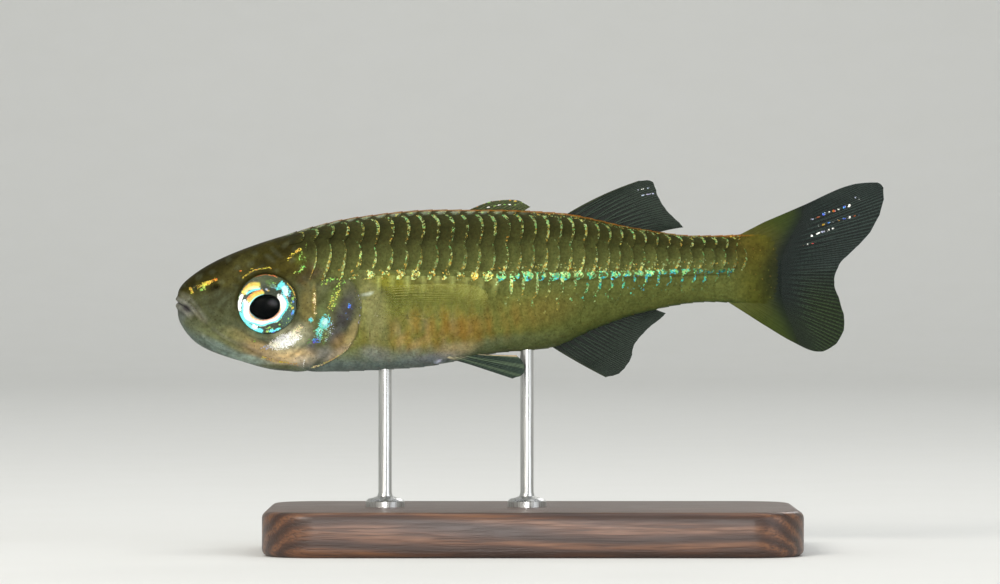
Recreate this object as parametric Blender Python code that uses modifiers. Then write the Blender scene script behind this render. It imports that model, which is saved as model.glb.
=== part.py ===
"""Life-size display model of a telmatherina, a small sailfin silverside, on a plain stand.

Run with: blender --background --python part.py
Sizes are in millimetres here and are turned into metres where a mesh is made. +Z is up.
The fish looks along -X and its left flank faces -Y. The origin is the middle of the base's underside.
The fish's pieces are parented to an empty on its body axis and modelled in that empty's frame.
"""

import math

import bmesh
import bpy
import numpy as np
from mathutils import Matrix, Vector

MM = 0.001

# Driving sizes of the fish
TOTAL_LENGTH = 80.0
BODY_LENGTH = 64.6
AXIS_HEIGHT = 30.0
GAP = 0.3

# Side view of the body: distance behind the snout tip, then height above the body's axis
BACK = ((0, -2.0), (0.06, -0.9), (0.3, -0.3), (1.4, 0.85), (4.8, 2.93), (11.5, 5.4), (20.5, 7.66),
        (29.5, 8.46), (36.0, 8.45), (43.0, 8.1), (52.2, 6.3), (58.5, 5.55), (61.5, 5.58), (64.6, 5.75))
BELLY = ((0, -2.0), (0.06, -3.4), (0.6, -4.8), (2.5, -6.8), (7.0, -8.55), (11.6, -9.65), (15.0, -9.8),
         (27.0, -9.3), (31.5, -8.55), (36.4, -7.6), (41.6, -7.15), (47.6, -4.7), (52.2, -3.15),
         (60.0, -1.9), (64.6, -2.1))
# Height of the widest level, and half the width there
WIDEST = ((0, -2.0), (5.0, -2.4), (12.0, -2.2), (20.0, -1.2), (28.0, -0.2), (36.0, 0.6), (46.0, 1.5),
          (64.6, 1.85))
HALF_WIDTH = ((0, 0.25), (0.06, 0.75), (0.4, 1.4), (1.4, 2.05), (4.0, 2.9), (8.0, 3.7), (13.0, 4.25),
              (20.0, 4.7), (27.0, 4.8), (34.0, 4.45), (42.0, 3.65), (52.0, 2.35), (60.0, 1.5), (64.6, 0.95))
# How square each half of a cross-section is: 2 is an ellipse
SQUARE_ABOVE = ((0, 2.2), (10.0, 2.45), (20.0, 2.15), (35.0, 2.0), (64.6, 2.0))
SQUARE_BELOW = ((0, 2.2), (8.0, 1.9), (18.0, 2.1), (30.0, 2.25), (45.0, 2.0), (64.6, 2.0))

# The body's mesh: rings along it, crowded towards the snout
RINGS = 46
RING_POINTS = 40
RING_CROWDING = 1.5
FIRST_RING = 0.02
SMALLEST_REACH = 0.05

# The tail swings a little away from the left side
SWAY_START = 42.0
SWAY_AT_TIP = 3.0

# Mouth, gill and tail cuts, as (distance, height) in side view
MOUTH_CORNER = 3.0
MOUTH_LINE = ((0, -1.85), (1.0, -2.5), (2.1, -3.35), (MOUTH_CORNER, -4.15))
JAW_CUT = ((-1.5, -1.85), *MOUTH_LINE, (4.0, -5.3), (5.6, -6.8), (7.6, -8.0), (9.2, -9.0), (10.4, -11.0))
GILL_CUT = ((14.8, 8.6), (15.9, 7.0), (17.2, 3.8), (18.6, 1.6), (20.1, 0.2), (20.75, -2.4), (20.5, -5.0),
            (19.2, -7.4), (17.8, -8.9), (16.9, -11.0))
TAIL_CUT = ((53.6, 9.0), (54.1, 4.0), (54.2, 1.7), (54.1, -1.0), (53.6, -5.0))
CUT_STEPS = 28
CUT_REACH = 12.0

LIP_RADIUS = 0.42
LIP_OFFSET = 0.4
LIP_TAPER = 0.45
LIP_STEPS = 18

# Gill cover, a plate over the side of the head
COVER_OUTLINE = ((15.3, 0.5), (15.05, -1.7), (15.1, -4.2), (15.5, -6.2), (16.6, -7.6), (18.4, -8.4),
                 (22.5, -8.6), (22.5, 0.9), (18.3, 1.1), (16.4, 1.15))
COVER_THICKNESS = 1.0
COVER_STEPS = 30
COVER_REACH = (1.2, 9.0)

# Eye: a shallow lens of the photographed diameter, set in a socket
EYE_PLACE = (10.26, -2.14)
EYE_RADIUS = 3.38
EYE_RIM_OUT = 3.92
EYE_DOME = 0.75
EYE_DEPTH = 2.9
EYE_FORWARD_TILT = math.radians(4.0)
EYE_STEPS = 28
SOCKET_MOUTH = 6.0

# Nostrils on each side: distance, height and pit radius; then their raised rims
NOSTRILS = ((2.3, -0.45, 0.34), (4.4, -0.2, 0.42))
NOSTRIL_RIM = 0.17

# Fins: thickness of a ray and of the membrane between rays, each at the root and at the tip
FIN_THICKNESS = ((0.95, 0.6), (0.75, 0.5))
TAIL_FIN_THICKNESS = ((1.7, 0.6), (1.5, 0.5))
THICKEST_FIN = 2.0
WEB_REACH = 0.985
FIN_SINK = 1.1
# Where the first and last rays root along the back or belly, and the tips of the rays from first to last
FIRST_DORSAL_ROOTS, FIRST_DORSAL_RAYS, FIRST_DORSAL_SINK = (32.1, 38.6), 6, 0.7
FIRST_DORSAL_TIPS = ((35.4, 9.45), (37.1, 9.6), (38.4, 9.55), (39.2, 9.15), (39.8, 8.8))
SECOND_DORSAL_ROOTS, SECOND_DORSAL_RAYS = (42.4, 52.2), 10
SECOND_DORSAL_TIPS = ((52.1, 11.78), (53.6, 11.7), (54.2, 10.1), (55.3, 8.35), (56.7, 6.95), (57.1, 6.5))
ANAL_ROOTS, ANAL_RAYS = (40.9, 52.2), 14
ANAL_TIPS = ((48.3, -10.43), (49.9, -9.95), (51.1, -8.4), (51.6, -6.7), (53.0, -5.0), (54.4, -3.9),
             (55.1, -3.2))
TAIL_ROOTS, TAIL_RAYS = ((62.5, 5.2), (63.6, 4.2), (64.0, 1.9), (63.3, -0.5), (61.7, -1.3)), 21
TAIL_TIPS = ((66.2, 7.1), (70.75, 9.0), (77.4, 11.6), (79.3, 11.6), (80.0, 10.6), (79.8, 8.6), (78.4, 6.0),
             (76.6, 4.1), (74.9, 2.4), (74.3, 0.3), (75.1, -2.0), (75.6, -4.6), (74.6, -6.7), (72.4, -7.6),
             (69.4, -6.4), (66.0, -4.4))
TAIL_FORK_HEIGHT = 1.6
LOWER_LOBE_BEND = 4.6
LOWER_LOBE_HEIGHT = 6.0
PECTORAL_ROOTS, PECTORAL_RAYS = ((22.7, -0.3), (22.5, -1.9), (21.9, -3.4)), 13
PECTORAL_TIPS = ((32.1, 0.1), (34.3, -0.4), (35.1, -1.2), (34.7, -2.4), (33.3, -3.5), (31.2, -3.95),
                 (29.1, -3.8))
PECTORAL_SINK = 1.2
PECTORAL_LIFT = 2.3
# Pelvic fins as (distance, half-span, height)
PELVIC_ROOTS, PELVIC_RAYS = ((29.6, 1.9, -7.8), (31.3, 0.9, -7.8)), 6
PELVIC_TIPS = ((37.8, 3.2, -10.5), (39.0, 2.6, -10.0), (39.1, 2.0, -8.9), (38.3, 1.5, -7.95))

# The stand
BASE_SIZE = (60.0, 34.0, 5.0)
BASE_CORNER = 6.0
BASE_EDGE = 0.8
ROD_RADIUS = 0.75
ROD_SIDES = 20
ROD_DEPTH = 3.0
ROD_PLACES = {"stand_rod_front": 23.4, "stand_rod_rear": 39.4}
# The rod's foot as (radius, height above the base)
ROD_FOOT = ((2.2, 0.3), (2.2, 0.75), (1.8, 1.0), (1.1, 1.1), (0.75, 1.5))

# Colours of the plain materials: colour, roughness, metallic
OLIVE_SKIN = ((0.3, 0.29, 0.13), 0.35, 0.25)
HEAD_SKIN = ((0.28, 0.25, 0.12), 0.4, 0.1)
PALE_SKIN = ((0.42, 0.34, 0.26), 0.4, 0.1)
SILVER_SKIN = ((0.55, 0.5, 0.42), 0.3, 0.4)
IRIS = ((0.6, 0.72, 0.72), 0.1, 0.3)
GREY_FIN = ((0.32, 0.34, 0.27), 0.5, 0.0)
YELLOW_FIN = ((0.5, 0.47, 0.32), 0.5, 0.0)
WALNUT = ((0.12, 0.06, 0.03), 0.5, 0.0)
STEEL = ((0.6, 0.6, 0.6), 0.25, 1.0)
FINISHES = {
    "head": HEAD_SKIN,
    "lower_jaw": PALE_SKIN,
    "gill_cover": SILVER_SKIN,
    "trunk": OLIVE_SKIN,
    "tail_base": OLIVE_SKIN,
    "eye": IRIS,
    "first_dorsal_fin": GREY_FIN,
    "second_dorsal_fin": GREY_FIN,
    "anal_fin": GREY_FIN,
    "caudal_fin": GREY_FIN,
    "pectoral_fin": YELLOW_FIN,
    "pelvic_fin": YELLOW_FIN,
    "stand_base": WALNUT,
    "stand_rod": STEEL,
}
SHARP_ANGLE = math.radians(35)
SIDES = {-1: "left", 1: "right"}


# Profiles and curves


def smooth_profile(points):
    """A curve through (place, value) points that doesn't overshoot them. Places are crowded at the snout."""
    place = np.sqrt([p[0] for p in points])
    value = np.array([p[1] for p in points], float)
    step = np.diff(place)
    slope = np.diff(value) / step
    tangent = np.zeros(len(value))
    tangent[0], tangent[-1] = slope[0], slope[-1]
    for i in range(1, len(value) - 1):
        if slope[i - 1] * slope[i] > 0:
            before, after = 2 * step[i] + step[i - 1], step[i] + 2 * step[i - 1]
            tangent[i] = (before + after) / (before / slope[i - 1] + after / slope[i])

    def at(distance):
        s = math.sqrt(max(distance, 0.0))
        i = int(np.clip(np.searchsorted(place, s) - 1, 0, len(step) - 1))
        t = min(max((s - place[i]) / step[i], 0.0), 1.0)
        return float(
            (1 + 2 * t) * (1 - t) ** 2 * value[i]
            + t * (1 - t) ** 2 * step[i] * tangent[i]
            + t * t * (3 - 2 * t) * value[i + 1]
            + t * t * (t - 1) * step[i] * tangent[i + 1]
        )

    return at


back, belly, widest = smooth_profile(BACK), smooth_profile(BELLY), smooth_profile(WIDEST)
half_width = smooth_profile(HALF_WIDTH)
square_above, square_below = smooth_profile(SQUARE_ABOVE), smooth_profile(SQUARE_BELOW)


def curve_through(points, count):
    """count points evenly spread over a smooth curve through the given ones."""
    given = [Vector(p) for p in points]
    held = [2 * given[0] - given[1], *given, 2 * given[-1] - given[-2]]
    made = []
    for k in range(count):
        u = k * (len(given) - 1) / (count - 1)
        i = min(int(u), len(given) - 2)
        t = u - i
        a, b, c, d = held[i : i + 4]
        bend = (c - a) * t + (2 * a - 5 * b + 4 * c - d) * t**2 + (3 * b - a - 3 * c + d) * t**3
        made.append(b + bend / 2)
    return made


def in_side_view(points):
    """(distance, height) points as (distance, across, height) ones on the midline."""
    return [(distance, 0.0, height) for distance, height in points]


def sway(distance):
    """How far the fish's midline lies to its right at this distance behind the snout."""
    share = max(0.0, distance - SWAY_START) / (TOTAL_LENGTH - SWAY_START)
    return SWAY_AT_TIP * share**2


def placed(distance, across, height):
    """A point in the fish's frame, in metres, from its distance, its place off the midline and height."""
    return Vector((distance - TOTAL_LENGTH / 2, across + sway(distance), height)) * MM


def width_at(distance, height):
    """Half the body's width at this distance and height."""
    level = widest(distance)
    above = height > level
    reach = back(distance) - level if above else level - belly(distance)
    square = square_above(distance) if above else square_below(distance)
    share = min(abs(height - level) / max(reach, SMALLEST_REACH), 1.0)
    return half_width(distance) * (1 - share**square) ** (1 / square)


def on_flank(distance, height, side):
    """The point of the body's surface there, and the direction that points out of it."""
    step = 0.1
    here = placed(distance, side * width_at(distance, height), height)
    along = placed(distance + step, side * width_at(distance + step, height), height) - here
    up = placed(distance, side * width_at(distance, height + step), height + step) - here
    out = along.cross(up).normalized()
    return here, out if out.y * side > 0 else -out


# Objects and modifiers


def add_object(name, data, like=None, collection=None):
    """A new object on the fish's empty, or in the place of another object."""
    obj = bpy.data.objects.new(name, data)
    obj.parent = like.parent if like else bpy.data.objects["fish"]
    if like:
        obj.matrix_basis = like.matrix_basis
    (collection or like.users_collection[0]).objects.link(obj)
    return obj


def mesh_object(name, bm, collection):
    """An object from a bmesh, with its faces pointing out."""
    bmesh.ops.recalc_face_normals(bm, faces=bm.faces)
    mesh = bpy.data.meshes.new(name)
    bm.to_mesh(mesh)
    bm.free()
    return add_object(name, mesh, collection=collection)


def fixed_mesh(obj):
    """Replaces an object, or a curve, by the mesh that its modifiers and caps make, welded shut."""
    bpy.context.view_layer.update()
    evaluated = obj.evaluated_get(bpy.context.evaluated_depsgraph_get())
    mesh = bpy.data.meshes.new_from_object(evaluated)
    bm = bmesh.new()
    bm.from_mesh(mesh)
    bmesh.ops.remove_doubles(bm, verts=bm.verts, dist=0.0005 * MM)
    bmesh.ops.recalc_face_normals(bm, faces=bm.faces)
    bm.to_mesh(mesh)
    bm.free()
    made = add_object("fixed", mesh, like=obj)
    name = obj.name
    bpy.data.objects.remove(obj)
    made.name = name
    return made


def boolean(obj, other, operation):
    """Cuts, joins or keeps what obj shares with another object or a collection of them."""
    modifier = obj.modifiers.new(operation.lower(), "BOOLEAN")
    modifier.operation = operation
    modifier.solver = "EXACT"
    if isinstance(other, bpy.types.Collection):
        modifier.operand_type = "COLLECTION"
        modifier.collection = other
    else:
        modifier.object = other
    return fixed_mesh(obj)


def closed_bodies(bm):
    """The separate bodies of a mesh, largest first, as lists of faces."""
    left, found = set(bm.faces), []
    while left:
        stack = [left.pop()]
        body = list(stack)
        while stack:
            for edge in stack.pop().edges:
                for face in edge.link_faces:
                    if face in left:
                        left.remove(face)
                        stack.append(face)
                        body.append(face)
        found.append(body)
    return sorted(found, key=len, reverse=True)


def keep_largest(obj):
    """Drops the scraps that a cut leaves."""
    bm = bmesh.new()
    bm.from_mesh(obj.data)
    for body in closed_bodies(bm)[1:]:
        bmesh.ops.delete(bm, geom=body, context="FACES")
    bm.to_mesh(obj.data)
    bm.free()
    return obj


def part_bodies(obj, names, collection):
    """Makes one object of each separate body, named in order of distance from the snout."""
    bm = bmesh.new()
    bm.from_mesh(obj.data)
    bodies = closed_bodies(bm)[: len(names)]
    bodies.sort(key=lambda faces: sum(f.calc_center_median().x for f in faces) / len(faces))
    made = []
    for name, faces in zip(names, bodies):
        piece, twins = bmesh.new(), {}
        for face in faces:
            for vert in face.verts:
                if vert not in twins:
                    twins[vert] = piece.verts.new(vert.co)
            piece.faces.new([twins[v] for v in face.verts])
        made.append(mesh_object(name, piece, collection))
    bm.free()
    bpy.data.objects.remove(obj)
    return made


def hidden_collection(name):
    """A collection for cutters and other helpers."""
    made = bpy.data.collections.new(name)
    bpy.context.scene.collection.children.link(made)
    made.hide_render = True
    return made


def as_helper(obj):
    obj.hide_render = True
    obj.display_type = "WIRE"
    return obj


def turned(name, collection, profile, steps):
    """A body turned about Z from (radius, height) points, from the top of its axis round to the bottom."""
    bm = bmesh.new()
    chain = [bm.verts.new(Vector((radius, 0.0, height)) * MM) for radius, height in profile]
    for a, b in zip(chain, chain[1:]):
        bm.edges.new((a, b))
    obj = mesh_object(name, bm, collection)
    screw = obj.modifiers.new("turn", "SCREW")
    screw.steps = screw.render_steps = steps
    screw.use_merge_vertices = True
    screw.merge_threshold = 0.00001
    return fixed_mesh(obj)


# The body


def make_body(name, collection, grow=0.0):
    """The whole body as a loft of rings. grow moves its surface out, or in where it is negative."""
    end = BODY_LENGTH + grow
    bm = bmesh.new()
    rings = []
    for i in range(RINGS):
        distance = FIRST_RING + (end - FIRST_RING) * (i / (RINGS - 1)) ** RING_CROWDING
        level = widest(distance)
        width = max(half_width(distance) + grow, SMALLEST_REACH)
        ring = []
        for k in range(RING_POINTS):
            turn = 2 * math.pi * k / RING_POINTS
            up, out = math.cos(turn), math.sin(turn)
            above = up > 0
            reach = (back(distance) - level if above else level - belly(distance)) + grow
            power = 2 / (square_above(distance) if above else square_below(distance))
            across = math.copysign(width * abs(out) ** power, out)
            rise = math.copysign(max(reach, SMALLEST_REACH) * abs(up) ** power, up)
            ring.append(bm.verts.new(placed(distance, across, level + rise)))
        rings.append(ring)
    for ring, following in zip(rings, rings[1:]):
        for k in range(RING_POINTS):
            j = (k + 1) % RING_POINTS
            bm.faces.new((ring[k], ring[j], following[j], following[k]))
    bm.faces.new(rings[0])
    bm.faces.new(rings[-1])
    return mesh_object(name, bm, collection)


def make_lip(name, collection, side):
    """A roll along the mouth line from corner to corner, side +1 above the line and -1 below it."""
    height = smooth_profile(MOUTH_LINE)
    data = bpy.data.curves.new(name, "CURVE")
    data.dimensions = "3D"
    data.bevel_depth = LIP_RADIUS * MM
    data.bevel_resolution = 2
    data.use_fill_caps = True
    spline = data.splines.new("POLY")
    spline.points.add(LIP_STEPS)
    for i, held in enumerate(spline.points):
        share = 2 * i / LIP_STEPS - 1
        distance = FIRST_RING + MOUTH_CORNER * abs(share) ** 2.2
        level = height(distance) + side * LIP_OFFSET
        held.co = (*placed(distance, math.copysign(width_at(distance, level), share), level), 1.0)
        held.radius = 1 - LIP_TAPER * share**2
    return fixed_mesh(add_object(name, data, collection=collection))


def make_nostril(collection, cutters, side, distance, height, radius):
    """A raised rim, and a round pit inside it."""
    spot, out = on_flank(distance, height, side)
    bpy.ops.mesh.primitive_torus_add(major_segments=14, minor_segments=6, major_radius=radius * MM,
                                     minor_radius=NOSTRIL_RIM * MM)
    mesh = bpy.context.object.data
    bpy.data.objects.remove(bpy.context.object)
    rim = add_object("nostril_rim", mesh, collection=collection)
    rim.location = spot
    rim.rotation_euler = out.to_track_quat("Z", "Y").to_euler()
    bm = bmesh.new()
    bmesh.ops.create_uvsphere(bm, u_segments=12, v_segments=8, radius=radius * MM)
    pit = as_helper(mesh_object("nostril_pit", bm, cutters))
    pit.location = spot


def make_sheet_cutter(name, collection, line):
    """A thin curved sheet across the fish, to part two pieces along a line of the side view."""
    bm = bmesh.new()
    pairs = []
    for point in curve_through(in_side_view(line), CUT_STEPS):
        x = point.x - TOTAL_LENGTH / 2
        pairs.append([bm.verts.new(Vector((x, y, point.z)) * MM) for y in (-CUT_REACH, CUT_REACH)])
    for (a, b), (c, d) in zip(pairs, pairs[1:]):
        bm.faces.new((a, b, d, c))
    sheet = as_helper(mesh_object(name, bm, collection))
    solid = sheet.modifiers.new("thickness", "SOLIDIFY")
    solid.thickness = GAP * MM
    solid.offset = 0.0


def make_eye(name, collection, side, grow=0.0):
    """A lens turned about its own axis, or with grow, the cutter for its socket."""
    radius, depth = EYE_RADIUS + grow, EYE_DEPTH + grow
    if grow:
        profile = [(0.0, SOCKET_MOUTH), (radius, SOCKET_MOUTH)]
    else:
        ball = (EYE_RADIUS**2 + EYE_DOME**2) / (2 * EYE_DOME)
        across = [EYE_RADIUS * share for share in (0.0, 0.25, 0.5, 0.75, 0.92, 1.0)]
        profile = [(r, math.sqrt(ball**2 - r * r) - (ball - EYE_DOME)) for r in across]
    for degrees in (5, 22, 45, 66, 90):
        turn = math.radians(degrees)
        profile.append((radius * max(math.cos(turn), 0.0) ** 0.6, -depth * math.sin(turn)))
    profile[-1] = (0.0, -depth)
    eye = turned(name, collection, profile, EYE_STEPS)
    distance, height = EYE_PLACE
    eye.location = placed(distance, side * EYE_RIM_OUT, height)
    eye.rotation_euler = (-side * math.pi / 2, 0.0, side * EYE_FORWARD_TILT)
    return eye


def make_cover_block(name, collection, side, grow):
    """A flat block across one side of the head, inside the gill cover's outline."""
    near, far = COVER_REACH
    data = bpy.data.curves.new(name, "CURVE")
    data.dimensions = "2D"
    data.fill_mode = "BOTH"
    data.extrude = (far - near) / 2 * MM
    spline = data.splines.new("POLY")
    spline.points.add(COVER_STEPS - 1)
    spline.use_cyclic_u = True
    outline = curve_through(in_side_view((*COVER_OUTLINE, COVER_OUTLINE[0])), COVER_STEPS + 1)[:-1]
    middle = sum(outline, Vector()) / COVER_STEPS
    for held, point in zip(spline.points, outline):
        moved = point + (point - middle).normalized() * grow
        held.co = ((moved.x - TOTAL_LENGTH / 2) * MM, moved.z * MM, 0.0, 1.0)
    block = add_object(name, data, collection=collection)
    block.rotation_euler.x = math.pi / 2
    block.location.y = side * (near + far) / 2 * MM
    return as_helper(fixed_mesh(block))


def make_gill_cover(name, collection, cutters, head, side):
    """Parts the gill cover's plate from the head, with a gap all round and under it."""
    inside = make_body("inside", cutters, -COVER_THICKNESS)
    cover = make_cover_block(name, collection, side, -GAP / 2)
    cover = boolean(boolean(cover, head, "INTERSECT"), inside, "DIFFERENCE")
    keep_largest(cover)
    bpy.data.objects.remove(inside)
    inside = make_body("inside", cutters, -COVER_THICKNESS - GAP)
    pocket = make_cover_block("pocket", cutters, side, GAP / 2)
    pocket = as_helper(boolean(pocket, inside, "DIFFERENCE"))
    head = keep_largest(boolean(head, pocket, "DIFFERENCE"))
    bpy.data.objects.remove(inside)
    bpy.data.objects.remove(pocket)
    return head


def make_flesh(collection):
    """The head, lower jaw, gill covers, trunk and tail, modelled whole and parted by thin cuts."""
    extras, cutters = hidden_collection("extras"), hidden_collection("cutters")
    for name, above in (("upper_lip", 1), ("lower_lip", -1)):
        make_lip(name, extras, above)
    for side in SIDES:
        make_eye("socket", cutters, side, GAP)
        for nostril in NOSTRILS:
            make_nostril(extras, cutters, side, *nostril)
    for name, line in (("jaw_cut", JAW_CUT), ("gill_cut", GILL_CUT), ("tail_cut", TAIL_CUT)):
        make_sheet_cutter(name, cutters, line)
    body = keep_largest(boolean(make_body("body", collection), extras, "UNION"))
    for obj in list(extras.objects):
        bpy.data.objects.remove(obj)
    body = boolean(body, cutters, "DIFFERENCE")
    head = part_bodies(body, ("lower_jaw", "head", "trunk", "tail_base"), collection)[1]
    for side, word in SIDES.items():
        head = make_gill_cover(f"gill_cover_{word}", collection, cutters, head, side)


# Fins


def bezier(root, knee, tip, t):
    return root * (1 - t) ** 2 + knee * 2 * t * (1 - t) + tip * t * t


def make_fin(name, collection, roots, tips, rays, rows, bow=0.0, thickness=FIN_THICKNESS, lay=None):
    """A membrane with a ridge along each ray.

    roots and tips are (distance, across, height) points of the first to the last ray, spread evenly.
    bow curves the rays, as a share of their length. lay gives the place across for a point.
    """
    starts, ends = curve_through(roots, rays), curve_through(tips, rays)
    knees = []
    for root, tip in zip(starts, ends):
        run = tip - root
        knees.append(root + run * 0.5 + Vector((-run.z, 0.0, run.x)) * bow)
    bm = bmesh.new()
    held = bm.verts.layers.deform.verify()
    columns = []
    for c in range(2 * rays - 1):
        ray, on_web = c // 2, c % 2
        root_thickness, tip_thickness = thickness[on_web]
        column = []
        for r in range(rows + 1):
            along = r / rows
            reach = along * (WEB_REACH if on_web else 1.0)
            point = bezier(starts[ray], knees[ray], ends[ray], reach)
            if on_web:
                point = (point + bezier(starts[ray + 1], knees[ray + 1], ends[ray + 1], reach)) / 2
            if lay:
                point.y = lay(point, along)
            vert = bm.verts.new(placed(*point))
            vert[held][0] = (root_thickness + (tip_thickness - root_thickness) * along**0.7) / THICKEST_FIN
            column.append(vert)
        columns.append(column)
    for c, (left, right) in enumerate(zip(columns, columns[1:])):
        for r in range(rows):
            corners = [left[r], right[r], right[r + 1], left[r + 1]]
            if c % 2:
                corners = corners[1:] + corners[:1]
            bm.faces.new(corners[:3])
            bm.faces.new((corners[0], *corners[2:]))
    fin = mesh_object(name, bm, collection)
    group = fin.vertex_groups.new(name="share_of_thickness")
    solid = fin.modifiers.new("thickness", "SOLIDIFY")
    solid.thickness = THICKEST_FIN * MM
    solid.offset = 0.0
    solid.vertex_group = group.name
    return fixed_mesh(fin)


def along_body(profile, ends, sink):
    """Fin roots along the back or the belly, sunk into it."""
    return [(x, 0.0, profile(x) + sink) for x in np.linspace(*ends, 4)]


def lay_tail_fin(point, along):
    """The lower lobe of the tail fin bends away to the fish's right."""
    below = min(max((TAIL_FORK_HEIGHT - point.z) / LOWER_LOBE_HEIGHT, 0.0), 1.0)
    reach = max(point.x - BODY_LENGTH, 0.0) / (TOTAL_LENGTH - BODY_LENGTH)
    return LOWER_LOBE_BEND * below * (3 - 2 * below) ** 0.5 * reach**1.5


def lay_beside_body(side):
    """A pectoral fin leaves the flank and stands out a little more towards its tip."""

    def lay(point, along):
        lift = -PECTORAL_SINK + (PECTORAL_LIFT + PECTORAL_SINK) * along**0.45
        return side * (width_at(point.x, point.z) + lift)

    return lay


def make_fins(collection, grown):
    """The eight fins, their roots trimmed to stand just clear of the body."""
    fins = [
        make_fin("first_dorsal_fin", collection, along_body(back, FIRST_DORSAL_ROOTS, -FIRST_DORSAL_SINK),
                 in_side_view(FIRST_DORSAL_TIPS), FIRST_DORSAL_RAYS, 5, bow=0.05),
        make_fin("second_dorsal_fin", collection, along_body(back, SECOND_DORSAL_ROOTS, -FIN_SINK),
                 in_side_view(SECOND_DORSAL_TIPS), SECOND_DORSAL_RAYS, 7, bow=0.07),
        make_fin("anal_fin", collection, along_body(belly, ANAL_ROOTS, FIN_SINK),
                 in_side_view(ANAL_TIPS), ANAL_RAYS, 7, bow=-0.03),
        make_fin("caudal_fin", collection, in_side_view(TAIL_ROOTS), in_side_view(TAIL_TIPS),
                 TAIL_RAYS, 8, thickness=TAIL_FIN_THICKNESS, lay=lay_tail_fin),
    ]
    for side, word in SIDES.items():
        roots, tips = ([(x, side * y, z) for x, y, z in ends] for ends in (PELVIC_ROOTS, PELVIC_TIPS))
        fins += [
            make_fin(f"pectoral_fin_{word}", collection, in_side_view(PECTORAL_ROOTS),
                     in_side_view(PECTORAL_TIPS), PECTORAL_RAYS, 7, bow=0.03, lay=lay_beside_body(side)),
            make_fin(f"pelvic_fin_{word}", collection, roots, tips, PELVIC_RAYS, 6),
        ]
    for fin in fins:
        keep_largest(boolean(fin, grown, "DIFFERENCE"))


# The stand


def make_base(collection):
    """A flat block with round corners and softened edges."""
    bm = bmesh.new()
    bmesh.ops.create_cube(bm, size=1.0, matrix=Matrix.Diagonal((*(s * MM for s in BASE_SIZE), 1.0)))
    bmesh.ops.translate(bm, verts=bm.verts, vec=(0, 0, BASE_SIZE[2] / 2 * MM))
    upright = [e for e in bm.edges if abs((e.verts[0].co - e.verts[1].co).z) > 0]
    bmesh.ops.bevel(bm, geom=upright, offset=BASE_CORNER * MM, segments=6, profile=0.5, affect="EDGES")
    base = mesh_object("stand_base", bm, collection)
    base.parent = None
    edge = base.modifiers.new("edge", "BEVEL")
    edge.width = BASE_EDGE * MM
    edge.segments = 2
    edge.limit_method = "ANGLE"
    edge.angle_limit = math.radians(60)
    return fixed_mesh(base)


def make_stand(collection, helpers, grown):
    """The base, and two turned rods that stand in its holes and end just short of the belly."""
    base = make_base(collection)
    height = BASE_SIZE[2]
    floor = height - ROD_DEPTH
    hole = ((0, height + 1), (ROD_RADIUS + GAP, height + 1), (ROD_RADIUS + GAP, floor - GAP), (0, floor - GAP))
    foot = [(radius, height + rise) for radius, rise in reversed(ROD_FOOT)]
    rod = ((0, AXIS_HEIGHT), (ROD_RADIUS, AXIS_HEIGHT), *foot, (ROD_RADIUS, foot[-1][1]), (ROD_RADIUS, floor),
           (0, floor))
    for name, distance in ROD_PLACES.items():
        made = []
        for word, profile, place in ((name, rod, collection), ("hole", hole, helpers)):
            obj = turned(word, place, profile, ROD_SIDES)
            obj.parent = None
            obj.location.x = (distance - TOTAL_LENGTH / 2) * MM
            made.append(obj)
        keep_largest(boolean(made[0], grown, "DIFFERENCE"))
        base = boolean(base, as_helper(made[1]), "DIFFERENCE")


# Materials and the whole


def finish(obj):
    """Smooth shading, and the piece's own plain material."""
    obj.data.shade_smooth()
    obj.data.set_sharp_from_angle(angle=SHARP_ANGLE)
    kind = next(kind for kind in sorted(FINISHES, key=len, reverse=True) if obj.name.startswith(kind))
    colour, roughness, metallic = FINISHES[kind]
    material = bpy.data.materials.new(obj.name)
    material.use_nodes = True
    shader = material.node_tree.nodes["Principled BSDF"]
    shader.inputs["Base Color"].default_value = (*colour, 1.0)
    shader.inputs["Roughness"].default_value = roughness
    shader.inputs["Metallic"].default_value = metallic
    obj.data.materials.clear()
    obj.data.materials.append(material)


def main():
    for obj in list(bpy.data.objects):
        bpy.data.objects.remove(obj)
    collection = bpy.data.collections.new("telmatherina")
    bpy.context.scene.collection.children.link(collection)
    axis = bpy.data.objects.new("fish", None)
    axis.location.z = AXIS_HEIGHT * MM
    collection.objects.link(axis)
    make_flesh(collection)
    for side, word in SIDES.items():
        make_eye(f"eye_{word}", collection, side)
    helpers = hidden_collection("helpers")
    grown = as_helper(make_body("grown", helpers, GAP))
    make_fins(collection, grown)
    make_stand(collection, helpers, grown)
    for obj in collection.objects:
        if obj.type == "MESH":
            finish(obj)


main()
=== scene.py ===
"""Dresses the life-size telmatherina model: its skin, scales, eyes, fins and stand, in a pale studio.

Blender works in metres. The fish's own shapes are worked out in millimetres: the distance behind the
snout's tip, the place across from the midline, and the height above the body's axis.
"""

import math
from collections import namedtuple

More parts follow.
